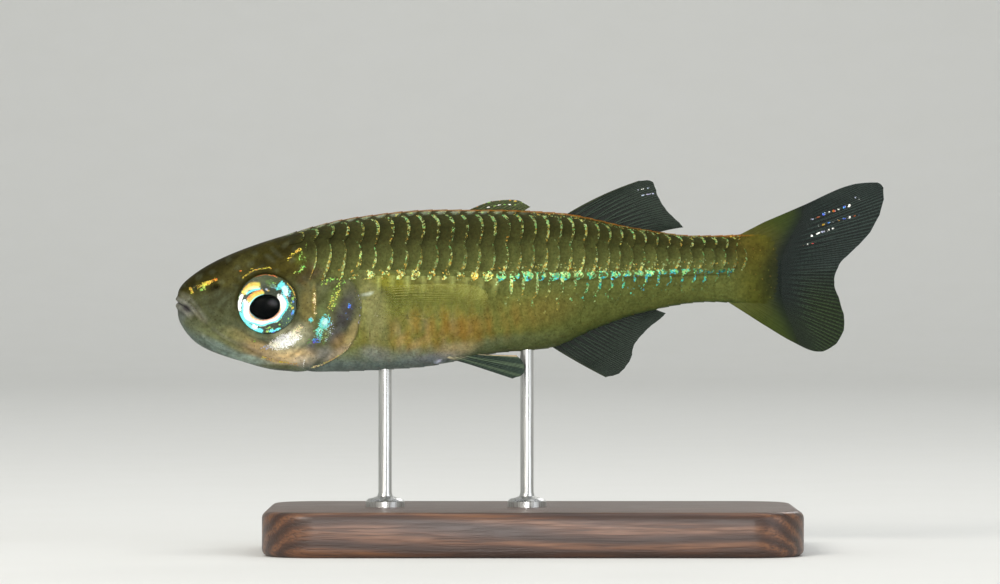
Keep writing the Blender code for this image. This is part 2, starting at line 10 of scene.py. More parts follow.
import bpy
import numpy as np
from bpy.props import FloatProperty, FloatVectorProperty, IntProperty, PointerProperty
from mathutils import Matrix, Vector


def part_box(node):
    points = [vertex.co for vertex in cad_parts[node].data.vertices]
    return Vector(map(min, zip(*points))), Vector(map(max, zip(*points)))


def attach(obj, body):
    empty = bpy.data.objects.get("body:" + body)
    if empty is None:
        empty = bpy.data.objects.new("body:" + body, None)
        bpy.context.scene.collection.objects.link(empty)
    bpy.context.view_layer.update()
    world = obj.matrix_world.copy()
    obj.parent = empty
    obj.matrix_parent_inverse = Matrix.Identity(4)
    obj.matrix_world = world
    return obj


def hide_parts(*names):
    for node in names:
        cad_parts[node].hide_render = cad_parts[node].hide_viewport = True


bl_info = {
    "name": "Telmatherina Display Model",
    "version": (1, 0, 0),
    "blender": (4, 5, 0),
    "location": "3D View > Sidebar > Telmatherina",
    "description": "Skin, scales, eyes, fins, stand and studio of a life-size fish model",
    "category": "Object",
}

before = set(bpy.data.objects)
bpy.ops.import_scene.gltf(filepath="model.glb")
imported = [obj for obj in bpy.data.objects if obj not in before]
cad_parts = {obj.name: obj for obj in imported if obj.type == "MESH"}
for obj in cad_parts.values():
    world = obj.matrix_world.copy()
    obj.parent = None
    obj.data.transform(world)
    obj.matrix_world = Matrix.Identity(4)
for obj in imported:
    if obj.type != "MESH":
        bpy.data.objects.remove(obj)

MM = 0.001
SIDES = {-1: "left", 1: "right"}

# Driving sizes of the fish, as in the solids
TOTAL_LENGTH = 80.0
BODY_LENGTH = 64.6
AXIS_HEIGHT = 30.0
SWAY_START = 42.0
SWAY_AT_TIP = 3.0

# Side view of the body: distance, then height. The last points carry the skin on between the tail's rays
BACK = ((0, -2.0), (0.06, -0.9), (0.3, -0.3), (1.4, 0.85), (4.8, 2.93), (11.5, 5.4), (20.5, 7.66),
        (29.5, 8.46), (36.0, 8.45), (43.0, 8.1), (52.2, 6.3), (58.5, 5.55), (61.5, 5.58), (64.6, 5.75),
        (68.2, 6.1))
BELLY = ((0, -2.0), (0.06, -3.4), (0.6, -4.8), (2.5, -6.8), (7.0, -8.55), (11.6, -9.65), (15.0, -9.8),
         (27.0, -9.3), (31.5, -8.55), (36.4, -7.6), (41.6, -7.15), (47.6, -4.7), (52.2, -3.15),
         (60.0, -1.9), (64.6, -2.1), (68.2, -2.7))
WIDEST = ((0, -2.0), (5.0, -2.4), (12.0, -2.2), (20.0, -1.2), (28.0, -0.2), (36.0, 0.6), (46.0, 1.5),
          (68.2, 1.85))
HALF_WIDTH = ((0, 0.25), (0.06, 0.75), (0.4, 1.4), (1.4, 2.05), (4.0, 2.9), (8.0, 3.7), (13.0, 4.25),
              (20.0, 4.7), (27.0, 4.8), (34.0, 4.45), (42.0, 3.65), (52.0, 2.35), (60.0, 1.5), (62.5, 1.05),
              (64.6, 0.62), (66.4, 0.27), (68.2, 0.04))
SQUARE_ABOVE = ((0, 2.2), (10.0, 2.45), (20.0, 2.15), (35.0, 2.0), (68.2, 2.0))
SQUARE_BELOW = ((0, 2.2), (8.0, 1.9), (18.0, 2.1), (30.0, 2.25), (45.0, 2.0), (68.2, 2.0))
SKIN_END = 68.2

# The bright stripe along the flank, where the scale rows are counted from
STRIPE = ((0, 1.3), (30.0, 1.2), (34.0, 1.0), (40.0, 1.0), (48.0, 1.12), (52.0, 1.25), (57.0, 1.5),
          (63.4, 1.65), (68.2, 1.7))
STRIPE_HEADROOM = 0.25

# Tint of the moist film's mirror light
FILM_TINT = (1.0, 0.85, 0.45, 1.0)

# The skin's mesh: rings crowded at the lips, close over the head, wider apart under the scales
LIP_RINGS, LIP_END = 64, 3.2
HEAD_RINGS, HEAD_END = 140, 21.0
TRUNK_RINGS = 112
RING_POINTS = 216
LINE_STEPS = 40

# Lines of the head in side view
MOUTH_LINE = ((0, -1.95), (0.7, -2.35), (1.35, -2.8), (2.2, -3.6))
JAW_FOLD = ((1.05, -1.55), (2.2, -2.8), (3.35, -4.45))
CHIN_LINES = (((1.9, -5.3), (4.2, -7.0), (6.8, -8.0)), ((3.5, -4.8), (5.4, -6.2), (8.4, -7.6)),
              ((6.5, -6.3), (9.5, -8.0), (13.0, -9.0)))
CHEEK_RIDGE = ((15.3, 0.2), (15.55, -1.5), (15.6, -3.6), (15.0, -5.7), (13.4, -7.3), (11.6, -8.2))
GILL_EDGE = ((15.9, 0.2), (17.6, 0.85), (19.3, 0.6), (20.4, -0.6), (20.75, -2.6), (20.3, -5.4),
             (19.1, -7.3), (17.2, -8.6), (14.8, -9.55), (12.3, -9.85))
# Nostrils of each side: distance, height, radius
NOSTRILS = ((2.3, -0.45, 0.26), (4.5, -0.2, 0.36))
# Rear edge of the pale pad that the pectoral fin grows from
PECTORAL_PAD = ((20.9, 0.0), (23.0, -0.6), (24.3, -2.6), (24.0, -5.2), (22.8, -7.2))

# Eye, as in the solids
EYE_PLACE = (10.26, -2.14)
EYE_RADIUS = 3.38
EYE_RIM_OUT = 3.92
EYE_DOME = 0.75
EYE_FORWARD_TILT = math.radians(4.0)

# Scales: their spacing along the body, and the place of one edge of the upper row
SCALE_PITCH = ((0, 1.7), (26.0, 1.7), (32.0, 1.62), (37.0, 1.5), (43.0, 1.42), (50.0, 1.34), (60.0, 1.32),
               (64.0, 1.12), (68.2, 1.1))
FIRST_EDGE = 17.8
# Rows of each flank. Middles and halves: girth of the row's middle and half its height at the stations.
# Shift: how far its edges lie behind the upper row's. Top and bottom: how far the ends of an edge are drawn
# forward. These three are in scale spacings. Lining: share of bright crystals on the edge, from its lower
# end to its upper end. Start: where the lining starts, as a share of the scale's length. Light: how bright
# the crystals are. Last: the row's rear end
ROW_STATIONS = (18.0, 22.0, 30.0, 50.0, 64.0)
Row = namedtuple("Row", "middles halves shift top bottom lining start light last")
ROWS = {
    "ridge": Row((1.0, 1.0, 1.0, 1.0, 1.0), (0.23, 0.24, 0.243, 0.18, 0.15), 0.5, 0.4, 0.4,
                 (0.15, 0.15, 0.15, 0.15, 0.15), 0.8, 0.5, 64.3),
    "upper": Row((0.66, 0.58, 0.573, 0.66, 0.725), (0.115, 0.18, 0.185, 0.16, 0.13), 0.0, 0.42, 0.26,
                 (0.1, 0.45, 0.8, 1.2, 1.3), 0.9, 0.6, 64.3),
    "middle": Row((0.265, 0.2, 0.203, 0.28, 0.325), (0.28, 0.2, 0.185, 0.235, 0.275), -0.15, 0.5, 0.5,
                  (0.6, 1.0, 0.85, 0.4, 0.15), 0.9, 0.48, 64.3),
    "stripe": Row((0.0, 0.0, 0.0, 0.0, 0.0), (0.05, 0.042, 0.044, 0.054, 0.06), -0.3, 0.3, 0.4,
                  (1.6, 1.8, 1.8, 1.4, 0.5), 0.6, 0.78, 64.0),
    "below": Row((-0.125, -0.12, -0.12, -0.17, -0.19), (0.095, 0.09, 0.09, 0.125, 0.15), 0.1, 0.0, 0.5,
                 (0.2, 0.6, 1.0, 1.0, 1.0), 0.88, 0.7, 62.5),
    "low 1": Row((-0.315, -0.315, -0.315, -0.415, -0.46), (0.095, 0.095, 0.095, 0.115, 0.12), -0.2, 0.2, 0.4,
                 (0.0, 0.05, 0.15, 0.4, 0.6), 0.86, 0.75, 63.8),
    "low 2": Row((-0.505, -0.505, -0.505, -0.65, -0.7), (0.095, 0.095, 0.095, 0.12, 0.12), 0.4, 0.3, 0.4,
                 (0.0, 0.0, 0.0, 0.0, 0.0), 0.88, 0.5, 63.6),
    "low 3": Row((-0.68, -0.68, -0.68, -0.86, -0.88), (0.09, 0.09, 0.09, 0.11, 0.1), -0.1, 0.3, 0.4,
                 (0.0, 0.0, 0.0, 0.0, 0.0), 0.88, 0.5, 63.4),
    "low 4": Row((-0.85, -0.85, -0.85, -0.95, -1.0), (0.09, 0.09, 0.09, 0.05, 0.05), 0.4, 0.3, 0.4,
                 (0.0, 0.0, 0.0, 0.0, 0.0), 0.88, 0.5, 42.0),
    "belly": Row((-1.0, -1.0, -1.0, -1.0, -1.0), (0.08, 0.08, 0.08, 0.1, 0.1), -0.1, 0.4, 0.4,
                 (0.0, 0.0, 0.0, 0.0, 0.0), 0.88, 0.5, 63.4),
}
ROW_OVERLAP = 1.16
SCALES_START = ((-11.0, 17.6), (-9.0, 18.4), (-7.4, 19.9), (-5.0, 21.0), (-2.4, 21.3), (0.2, 20.8),
                (0.9, 18.4), (2.0, 16.2), (4.0, 14.2), (6.0, 12.6))
SCALES_END = 64.3

# Fins, as in the solids: where the first and last rays root, the tips, the number of rays
FIRST_DORSAL_ROOTS, FIRST_DORSAL_RAYS = (32.1, 38.6), 6
FIRST_DORSAL_TIPS = ((35.4, 9.45), (37.1, 9.6), (38.4, 9.55), (39.2, 9.15), (39.8, 8.8))
SECOND_DORSAL_ROOTS, SECOND_DORSAL_RAYS = (42.4, 52.2), 10
SECOND_DORSAL_TIPS = ((52.1, 11.78), (53.6, 11.7), (54.2, 10.1), (55.3, 8.35), (56.7, 6.95), (57.1, 6.5))
ANAL_ROOTS, ANAL_RAYS = (40.9, 52.2), 14
ANAL_TIPS = ((48.3, -10.43), (49.9, -9.95), (51.1, -8.4), (51.6, -6.7), (53.0, -5.0), (54.4, -3.9),
             (55.1, -3.2))
TAIL_ROOTS, TAIL_RAYS = ((62.5, 5.2), (63.6, 4.2), (64.0, 1.9), (63.3, -0.5), (61.2, -1.35)), 21
TAIL_TIPS = ((66.2, 7.1), (70.75, 9.05), (75.6, 11.2), (79.2, 11.65), (80.0, 10.7), (79.7, 8.6), (78.4, 6.0),
             (76.6, 4.1), (74.9, 2.4), (74.3, 0.3), (75.1, -2.0), (75.6, -4.6), (74.6, -6.7), (72.4, -7.6),
             (69.4, -6.4), (66.0, -4.4))
TAIL_FORK_HEIGHT = 1.6
LOWER_LOBE_BEND = 4.6
LOWER_LOBE_HEIGHT = 6.0
PECTORAL_ROOTS, PECTORAL_RAYS = ((22.7, -0.3), (22.5, -1.9), (21.9, -3.4)), 13
PECTORAL_TIPS = ((32.1, 0.1), (34.3, -0.4), (35.1, -1.2), (34.7, -2.4), (33.3, -3.5), (31.2, -3.95),
                 (29.1, -3.8))
PECTORAL_SINK = 1.2
PECTORAL_LIFT = 2.3
PELVIC_ROOTS, PELVIC_RAYS = ((31.3, 0.9, -7.8), (29.6, 1.9, -7.8)), 6
PELVIC_TIPS = ((38.3, 1.5, -7.95), (39.1, 2.0, -8.9), (39.0, 2.6, -10.0), (37.8, 3.2, -10.5))
FIN_SINK = 1.1

# Bright marks of the head and shoulder: distance, height, half length, half height, turn in degrees,
# colour, and how solid the mark is
HEAD_MARKS = (
    (12.3, -6.25, 1.6, 0.72, 22, "silver", 1.6),
    (13.5, -5.3, 0.9, 0.42, 50, "cream", 0.9),
    (11.0, -6.7, 0.6, 0.35, 5, "cream", 0.9),
    (10.2, -7.0, 0.6, 0.25, 5, "lavender", 0.6),
    (8.85, -6.3, 0.13, 0.17, 0, "green", 1.2),
    (15.17, -3.95, 0.2, 0.2, 0, "cyan", 1.4),
    (16.7, -4.3, 0.6, 0.75, -25, "cyan", 1.1),
    (16.75, -4.15, 0.28, 0.38, -25, "silver", 1.1),
    (16.1, -5.35, 0.42, 0.55, 10, "cyan", 0.9),
    (16.2, -5.2, 0.16, 0.2, 0, "silver", 0.9),
    (15.8, -6.2, 0.45, 0.4, 10, "blue", 0.7),
    (16.4, -5.4, 0.85, 1.2, -10, "green", 0.4),
    (17.3, -4.9, 0.5, 0.7, -20, "lavender", 0.25),
    (15.0, -6.3, 0.3, 0.3, -10, "green", 0.5),
    (16.9, -6.1, 0.25, 0.2, 0, "lavender", 0.5),
    (19.5, -2.3, 0.14, 0.2, 0, "blue", 1.1),
    (19.1, -3.6, 0.5, 1.3, -20, "blue", 0.05),
    (1.65, -0.6, 0.16, 0.45, 25, "gold", 0.9),
    (3.2, 0.1, 1.0, 0.24, 22, "gold", 0.95),
    (2.95, -0.35, 0.3, 0.4, 0, "green", 0.6),
    (4.3, 0.55, 0.3, 0.14, 10, "orange", 0.9),
    (3.9, 0.35, 0.3, 0.14, 10, "gold", 0.9),
    (7.2, 1.5, 0.25, 0.1, 15, "orange", 0.5),
    (8.5, 1.8, 0.2, 0.1, 15, "gold", 0.6),
    (15.0, 4.9, 0.2, 0.75, -30, "green", 0.85),
    (13.7, 3.85, 0.4, 0.14, 25, "gold", 0.9),
    (12.9, 3.2, 0.15, 0.5, -40, "gold", 0.6),
    (14.0, 3.3, 0.1, 0.5, -20, "green", 0.6),
    (14.1, 1.75, 0.45, 0.14, 50, "green", 0.7),
    (13.4, 1.35, 0.2, 0.12, 20, "green", 0.7),
    (14.6, 2.6, 0.8, 1.0, 0, "green", 0.12),
    (22.5, -3.4, 0.14, 0.14, 0, "silver", 1.2),
    (21.8, -0.9, 0.2, 0.2, 0, "lavender", 0.6),
    (22.95, -7.3, 0.15, 0.4, -10, "lavender", 0.5),
    (29.5, -8.75, 0.3, 0.2, 10, "lavender", 0.9),
    (14.3, -8.8, 0.1, 0.42, -15, "silver", 1.0),
    (13.3, -8.8, 0.3, 0.1, 10, "gold", 0.7),
)
# Bright lines: their points, half width, colour and how solid they are
HEAD_LINES = (
    (((7.3, 0.55), (8.6, 1.45), (9.6, 1.8), (10.9, 1.85)), 0.08, "gold", 0.8),
    (((15.5, -0.5), (15.6, -2.0), (15.7, -3.5)), 0.14, "cream", 0.35),
    (((16.0, -0.2), (17.6, 0.65), (19.3, 0.15)), 0.25, "green", 0.4),
    (((18.6, 0.3), (17.9, -1.0), (17.6, -2.2), (16.8, -3.5)), 0.3, "green", 0.42),
    (((18.4, -0.5), (17.6, -1.9), (16.9, -3.1)), 0.2, "gold", 0.35),
    (((14.6, -9.35), (16.4, -8.85), (17.8, -8.2), (19.1, -7.3), (19.8, -6.3)), 0.09, "cream", 0.85),
    (((16.3, -8.9), (17.6, -8.3), (18.4, -7.8)), 0.08, "gold", 0.8),
    (((9.0, -8.0), (10.8, -8.5), (12.6, -8.8), (13.8, -9.1)), 0.09, "gold", 0.4),
    (((20.4, -0.6), (20.8, -2.6), (20.4, -5.4)), 0.1, "lavender", 0.25),
)
# Painted patches of the head: distance, height, half length, half height, turn in degrees, colour, share
HEAD_PATCHES = (
    (3.4, -2.9, 3.2, 2.2, 20, "#454831", 0.7),
    (5.2, -1.5, 1.5, 1.0, 20, "#2E3021", 0.55),
    (6.6, 1.2, 1.9, 1.0, 25, "#43401F", 0.8),
    (8.0, 3.0, 1.4, 0.5, 18, "#5A5830", 0.6),
    (10.0, 2.5, 1.2, 0.3, -12, "#221E0A", 0.45),
    (6.8, -4.9, 0.1, 0.14, 0, "#20200F", 0.7),
    (6.2, -6.2, 0.1, 0.12, 0, "#2A2A18", 0.6),
    (9.6, 3.9, 2.8, 0.7, 20, "#312E0B", 0.8),
    (12.6, 2.1, 2.0, 0.9, 15, "#403A13", 0.7),
    (14.3, 3.0, 1.0, 0.9, -20, "#48511B", 0.6),
    (15.9, 2.2, 1.1, 1.5, -10, "#5C4934", 0.6),
    (14.4, 0.5, 0.8, 0.7, 0, "#3D2E1B", 0.7),
    (14.7, -2.4, 0.7, 2.2, 0, "#71673C", 0.75),
    (15.55, -2.2, 0.25, 1.9, 0, "#948142", 0.7),
    (16.7, -1.9, 0.7, 1.7, -5, "#4B532F", 0.6),
    (17.9, -1.2, 0.7, 1.2, -15, "#616E34", 0.6),
    (16.3, -3.6, 0.8, 1.2, -15, "#5D6B40", 0.6),
    (19.0, -3.2, 0.95, 2.5, -20, "#3D3C41", 0.85),
    (17.8, -5.9, 0.7, 1.0, -40, "#4B4950", 0.6),
    (18.6, -6.4, 1.2, 0.8, 35, "#8C7349", 0.6),
    (19.8, -5.6, 0.55, 1.6, -20, "#A79765", 0.75),
    (18.3, -7.6, 1.6, 0.5, 30, "#A49278", 0.7),
    (16.4, -7.7, 1.2, 0.7, 15, "#8C8982", 0.65),
    (15.2, -7.0, 0.5, 0.8, -20, "#585661", 0.5),
    (7.4, -6.3, 2.2, 1.1, -20, "#958A57", 0.75),
    (9.4, -7.2, 2.0, 0.8, -12, "#A48A61", 0.8),
    (12.4, -8.0, 2.6, 0.85, 6, "#D8BA86", 0.85),
    (14.2, -8.5, 1.2, 0.6, 5, "#BAAD94", 0.7),
    (12.9, -6.0, 2.3, 1.2, 24, "#B6B392", 0.8),
    (5.0, -5.9, 2.4, 1.1, -30, "#6B6F4A", 0.7),
    (5.0, -7.1, 2.4, 0.5, -28, "#778B81", 0.8),
    (8.4, -8.4, 2.2, 0.4, -12, "#92A394", 0.8),
    (11.8, -9.25, 2.4, 0.3, -4, "#666B49", 0.8),
    (1.1, -1.5, 0.8, 0.45, -35, "#666655", 0.8),
    (0.5, -3.3, 0.6, 0.8, 0, "#585D58", 0.9),
    # Painted shade in the hollow at the mouth's corner
    (1.3, -2.75, 0.45, 0.3, -30, "#312C38", 0.9),
    (2.5, -3.3, 1.2, 0.32, -45, "#6D6B5A", 0.8),
    # Painted shade in and round the pit of the rear nostril
    (4.3, -0.35, 0.7, 0.35, 15, "#141107", 0.85),
    (2.0, -0.2, 0.3, 0.5, 20, "#1E1C0B", 0.6),
    (17.2, 4.6, 0.6, 1.2, -30, "#3F401E", 0.6),
)

# The same for the trunk
TRUNK_PATCHES = (
    (29.5, 0.25, 6.0, 0.6, 0, "#726E34", 0.55),
    (37.5, -7.3, 5.5, 1.1, 6, "#565E30", 0.75),
    (34.0, -2.6, 3.0, 1.4, 0, "#54562A", 0.5),
    (32.6, -4.9, 2.2, 1.3, 10, "#845F28", 0.5),
    (40.5, -3.0, 4.0, 1.6, 12, "#845F28", 0.2),
    (31.4, -7.3, 2.0, 0.7, 8, "#BCA878", 0.6),
    (29.2, -8.1, 2.6, 0.5, 8, "#7A7E8C", 0.4),
    (22.4, -7.6, 1.6, 0.8, -10, "#8A9094", 0.4),
    (26.0, -8.0, 1.4, 0.6, 20, "#7C8A88", 0.3),
    (22.2, -3.0, 1.5, 3.6, 12, "#7C7A50", 0.8),
    (24.2, 0.2, 1.9, 0.8, -12, "#7A7927", 0.85),
    (22.5, -3.4, 0.11, 0.11, 0, "#F8FFF0", 1.0),
    (21.9, -0.9, 0.16, 0.1, 20, "#D0DCD0", 0.8),
    (23.0, -7.2, 0.16, 0.35, -10, "#C0CCD8", 0.6),
    (29.5, -8.6, 0.3, 0.2, 10, "#E0E6FF", 0.9),
    (23.4, -5.6, 0.5, 1.4, 0, "#4E5830", 0.3),
    (26.6, -4.3, 0.5, 1.3, -8, "#8A7038", 0.4),
    (28.4, -5.4, 0.45, 1.5, -12, "#9A7A3C", 0.45),
    (30.2, -4.6, 0.4, 1.5, -8, "#96702C", 0.45),
    (25.2, -6.2, 0.7, 0.5, 30, "#A4884C", 0.45),
    (27.0, -6.6, 0.9, 0.45, 30, "#AC8C5C", 0.45),
    (24.6, -4.6, 0.3, 0.8, -10, "#A08C50", 0.4),
    (33.4, -6.0, 0.5, 1.0, -20, "#8C7430", 0.35),
)


def hex_colour(code):
    """An sRGB hex colour as linear red, green and blue."""
    parts = [int(code[i : i + 2], 16) / 255 for i in (1, 3, 5)]
    return tuple(c / 12.92 if c <= 0.04045 else ((c + 0.055) / 1.055) ** 2.4 for c in parts)


def colour_setting(name, description, code):
    """A colour in the panel, given as sRGB hex."""
    return FloatVectorProperty(name=name, description=description, subtype="COLOR", size=3, min=0.0,
                               max=1.0, default=hex_colour(code))


def size_setting(name, description, default, **limits):
    """A length in the panel, in metres."""
    return FloatProperty(name=name, description=description, subtype="DISTANCE", unit="LENGTH",
                         default=default, precision=5, **limits)


class FishColours(bpy.types.PropertyGroup):
    back: colour_setting("Back", "Along the ridge of the back", "#332F11")
    upper: colour_setting("Upper flank", "Inside the upper scales", "#303116")
    middle: colour_setting("Middle flank", "Inside the scales above the stripe", "#414522")
    flank: colour_setting("Flank", "Beside the stripe", "#51562C")
    lower_front: colour_setting("Lower flank, front", "Over the belly cavity", "#6C7035")
    lower_rear: colour_setting("Lower flank, rear", "From the anal fin to the tail", "#51572B")
    belly: colour_setting("Belly", "The grey band along the underside", "#67746D")
    belly_rear: colour_setting("Underside of the tail", "Between the anal and the tail fin", "#45542E")
    blush: colour_setting("Blush", "Orange flesh that shows through above the belly", "#845F28")
    pink: colour_setting("Pink", "Pale pink blotches above the belly", "#8E7A5C")
    # Ridge is a painted rim highlight: a copper line along the back's outline
    ridge: colour_setting("Ridge", "Copper rim along the very ridge of the back", "#A5651E")
    ridge_patch: colour_setting("Ridge patches", "Pale patches beside the copper rim", "#98A48E")
    streak: colour_setting("Streaks", "Pale upright streaks beside the pectoral fin", "#A0A864")
    crown: colour_setting("Crown", "Top of the head", "#252209")
    brow: colour_setting("Brow", "Upper side of the head", "#3B3815")
    cheek: colour_setting("Cheek", "Side of the head", "#484B31")
    jaw: colour_setting("Jaw", "Lower jaw", "#5A614C")
    throat: colour_setting("Throat", "Underside of the head", "#5C6861")
    lips: colour_setting("Lips", "Both lips", "#74746C")
    mouth: colour_setting("Mouth", "The shadow between the lips", "#1C1622")
    gill: colour_setting("Gill cover", "Plate behind the cheek", "#56583B")
    tail_flesh: colour_setting("Tail root", "Yellow flesh at the root of the tail fin", "#343F13")
    tail_gold: colour_setting("Tail root, upper", "Golden patch at the upper tail root", "#664F1B")
    tail_gold_low: colour_setting("Tail root, lower", "Golden patch at the lower tail root", "#5C4F1B")
    tail_shadow: colour_setting("Tail crescent", "Dusky band across the root of the tail fin", "#121A17")


class GleamColours(bpy.types.PropertyGroup):
    silver: colour_setting("Silver", "Bare guanine layer", "#FFFFF6")
    cream: colour_setting("Cream", "Guanine under thin skin", "#E6D8A4")
    gold: colour_setting("Gold", "Gold crystals", "#CDB048")
    green: colour_setting("Green", "Yellow-green crystals", "#8DB856")
    cyan: colour_setting("Cyan", "Blue-green crystals", "#66E2E6")
    blue: colour_setting("Blue", "Blue crystals", "#4674DC")
    orange: colour_setting("Orange", "Copper crystals", "#D27A2E")
    lavender: colour_setting("Lavender", "Violet-silver crystals", "#A9AECB")


class FinColours(bpy.types.PropertyGroup):
    membrane: colour_setting("Membrane", "Grey-green web of the dorsal and anal fins", "#1A211B")
    first_dorsal: colour_setting("First dorsal", "Web of the small fin", "#383F24")
    tail_outer: colour_setting("Tail lobes", "Outer part of the tail fin", "#171E1B")
    tail_lower: colour_setting("Lower tail lobe", "The lobe that bends away", "#17200F")
    pectoral: colour_setting("Pectoral", "Yellow web of the pectoral fin", "#8E8E3A")
    pectoral_ray: colour_setting("Pectoral rays", "Rays of the pectoral fin", "#C2BE68")
    pelvic: colour_setting("Pelvic", "Web of the pelvic fins", "#222C25")
    pelvic_band: colour_setting("Pelvic bands", "Pale bands along the pelvic rays", "#46523F")
    pelvic_root: colour_setting("Pelvic root", "Pale flesh at the root of the pelvic fins", "#A39A7C")
    pelvic_edge: colour_setting("Pelvic edge", "Top ray of the pelvic fins", "#A8957A")
    edge: colour_setting("Leading edge", "Rim of the dorsal and tail fins", "#2A2E12")


class ModelSizes(bpy.types.PropertyGroup):
    scale_overlap: FloatProperty(name="Scale length", description="Length of a scale in scale spacings",
                                 subtype="FACTOR", default=1.9, min=1.2, max=2.4)
    scale_rise: size_setting("Scale rise", "How far a scale's rear edge stands off the skin", 0.00014)
    scale_root: size_setting("Scale root", "How deep a scale's front end lies in the skin", 0.00008)
    scale_thickness: size_setting("Scale thickness", "Thickness of a scale", 0.00005)
    crystal: size_setting("Crystal size", "Width of one bright crystal fleck on the scales", 0.00016)
    web: size_setting("Web thickness", "Fin membrane between the rays", 0.00008)
    ray_root: size_setting("Ray thickness, root", "Fin ray where it leaves the body", 0.00042)
    ray_tip: size_setting("Ray thickness, tip", "Fin ray at its tip", 0.00012)
    web_cover: FloatProperty(name="Web cover", description="How far the web hides what lies behind it",
                             subtype="FACTOR", default=0.88, min=0.0, max=1.0)
    ray_cover: FloatProperty(name="Ray cover", description="How far a ray hides what lies behind it",
                             subtype="FACTOR", default=0.92, min=0.0, max=1.0)
    clear_web_cover: FloatProperty(name="Pectoral web cover", description="The same for the pectoral web",
                                   subtype="FACTOR", default=0.012, min=0.0, max=1.0)
    clear_ray_cover: FloatProperty(name="Pectoral ray cover", description="The same for the pectoral rays",
                                   subtype="FACTOR", default=0.48, min=0.0, max=1.0)
    bowl_floor: size_setting("Floor", "Radius of the flat floor", 1.1)
    bowl_wall: size_setting("Wall", "Radius of the backdrop's wall", 1.7)
    bowl_height: size_setting("Wall height", "Height of the backdrop's wall", 1.6)
    camera_distance: size_setting("Camera distance", "From the lens to the fish's midline", 0.6)
    view_width: size_setting("View width", "Width of the picture at the fish's midline", 0.11276)
    random_seed: IntProperty(name="Random seed", description="Draw of the small irregularities", default=11)


# Profiles, curves and the body's surface


def smooth_profile(points):
    """A curve through (place, value) points that doesn't overshoot them. Places are crowded at the snout."""
    place = np.sqrt([p[0] for p in points])
    value = np.array([p[1] for p in points], float)
    step = np.diff(place)
    slope = np.diff(value) / step
    tangent = np.zeros(len(value))
    tangent[0], tangent[-1] = slope[0], slope[-1]
    for i in range(1, len(value) - 1):
        if slope[i - 1] * slope[i] > 0:
            before, after = 2 * step[i] + step[i - 1], step[i] + 2 * step[i - 1]
            tangent[i] = (before + after) / (before / slope[i - 1] + after / slope[i])

    def at(distance):
        s = np.sqrt(np.maximum(distance, 0.0))
        i = np.clip(np.searchsorted(place, s) - 1, 0, len(step) - 1)
        t = np.clip((s - place[i]) / step[i], 0.0, 1.0)
        return (
            (1 + 2 * t) * (1 - t) ** 2 * value[i]
            + t * (1 - t) ** 2 * step[i] * tangent[i]
            + t * t * (3 - 2 * t) * value[i + 1]
            + t * t * (t - 1) * step[i] * tangent[i + 1]
        )

    return at


back, belly, widest = smooth_profile(BACK), smooth_profile(BELLY), smooth_profile(WIDEST)
half_width = smooth_profile(HALF_WIDTH)
square_above, square_below = smooth_profile(SQUARE_ABOVE), smooth_profile(SQUARE_BELOW)
stripe_line = smooth_profile(STRIPE)
scale_pitch = smooth_profile(SCALE_PITCH)


def curve_through(points, count):
    """count points evenly spread over a smooth curve through the given ones."""
    given = np.array(points, float)
    held = np.vstack((2 * given[0] - given[1], given, 2 * given[-1] - given[-2]))
    u = np.linspace(0, len(given) - 1, count)
    i = np.minimum(u.astype(int), len(given) - 2)
    t = (u - i)[:, None]
    a, b, c, d = (held[i + k] for k in range(4))
    return b + ((c - a) * t + (2 * a - 5 * b + 4 * c - d) * t**2 + (3 * b - a - 3 * c + d) * t**3) / 2


def soft(value, start, end):
    """0 before start, 1 after end, and a smooth step between them."""
    t = np.clip((value - start) / (end - start), 0.0, 1.0)
    return t * t * (3 - 2 * t)


def hump(value, width):
    """A smooth hump, 1 at 0, about as wide to each side as width."""
    return np.exp(-((value / width) ** 2))


def stripe_height(distance):
    """Height of the stripe, kept inside the head where the line runs out over the snout."""
    top, bottom = back(distance), belly(distance)
    return np.minimum(stripe_line(distance), top - STRIPE_HEADROOM * (top - bottom))


def sway(distance):
    """How far the fish's midline lies to its right at this distance behind the snout."""
    share = np.maximum(0.0, distance - SWAY_START) / (TOTAL_LENGTH - SWAY_START)
    return SWAY_AT_TIP * share**2


def placed(places):
    """Points in metres in the model's frame, from (distance, across, height) ones in millimetres."""
    distance, across, height = np.moveaxis(np.asarray(places, float), -1, 0)
    return np.stack(
        ((distance - TOTAL_LENGTH / 2) * MM, (across + sway(distance)) * MM, (height + AXIS_HEIGHT) * MM),
        axis=-1,
    )


def section(distance, turn):
    """Place across and height of the body's surface. turn runs from 0 at the back, to the fish's right."""
    up, out = np.cos(turn), np.sin(turn)
    level = widest(distance)
    reach = np.where(up > 0, back(distance) - level, level - belly(distance))
    power = 2 / np.where(up > 0, square_above(distance), square_below(distance))
    across = half_width(distance) * np.abs(out) ** power * np.sign(out)
    return across, level + reach * np.abs(up) ** power * np.sign(up)


def width_at(distance, height):
    """Half the body's width at this distance and height."""
    level = widest(distance)
    above = height > level
    reach = np.maximum(np.where(above, back(distance) - level, level - belly(distance)), 0.05)
    square = np.where(above, square_above(distance), square_below(distance))
    share = np.clip(np.abs(height - level) / reach, 0.0, 1.0)
    return half_width(distance) * (1 - share**square) ** (1 / square)


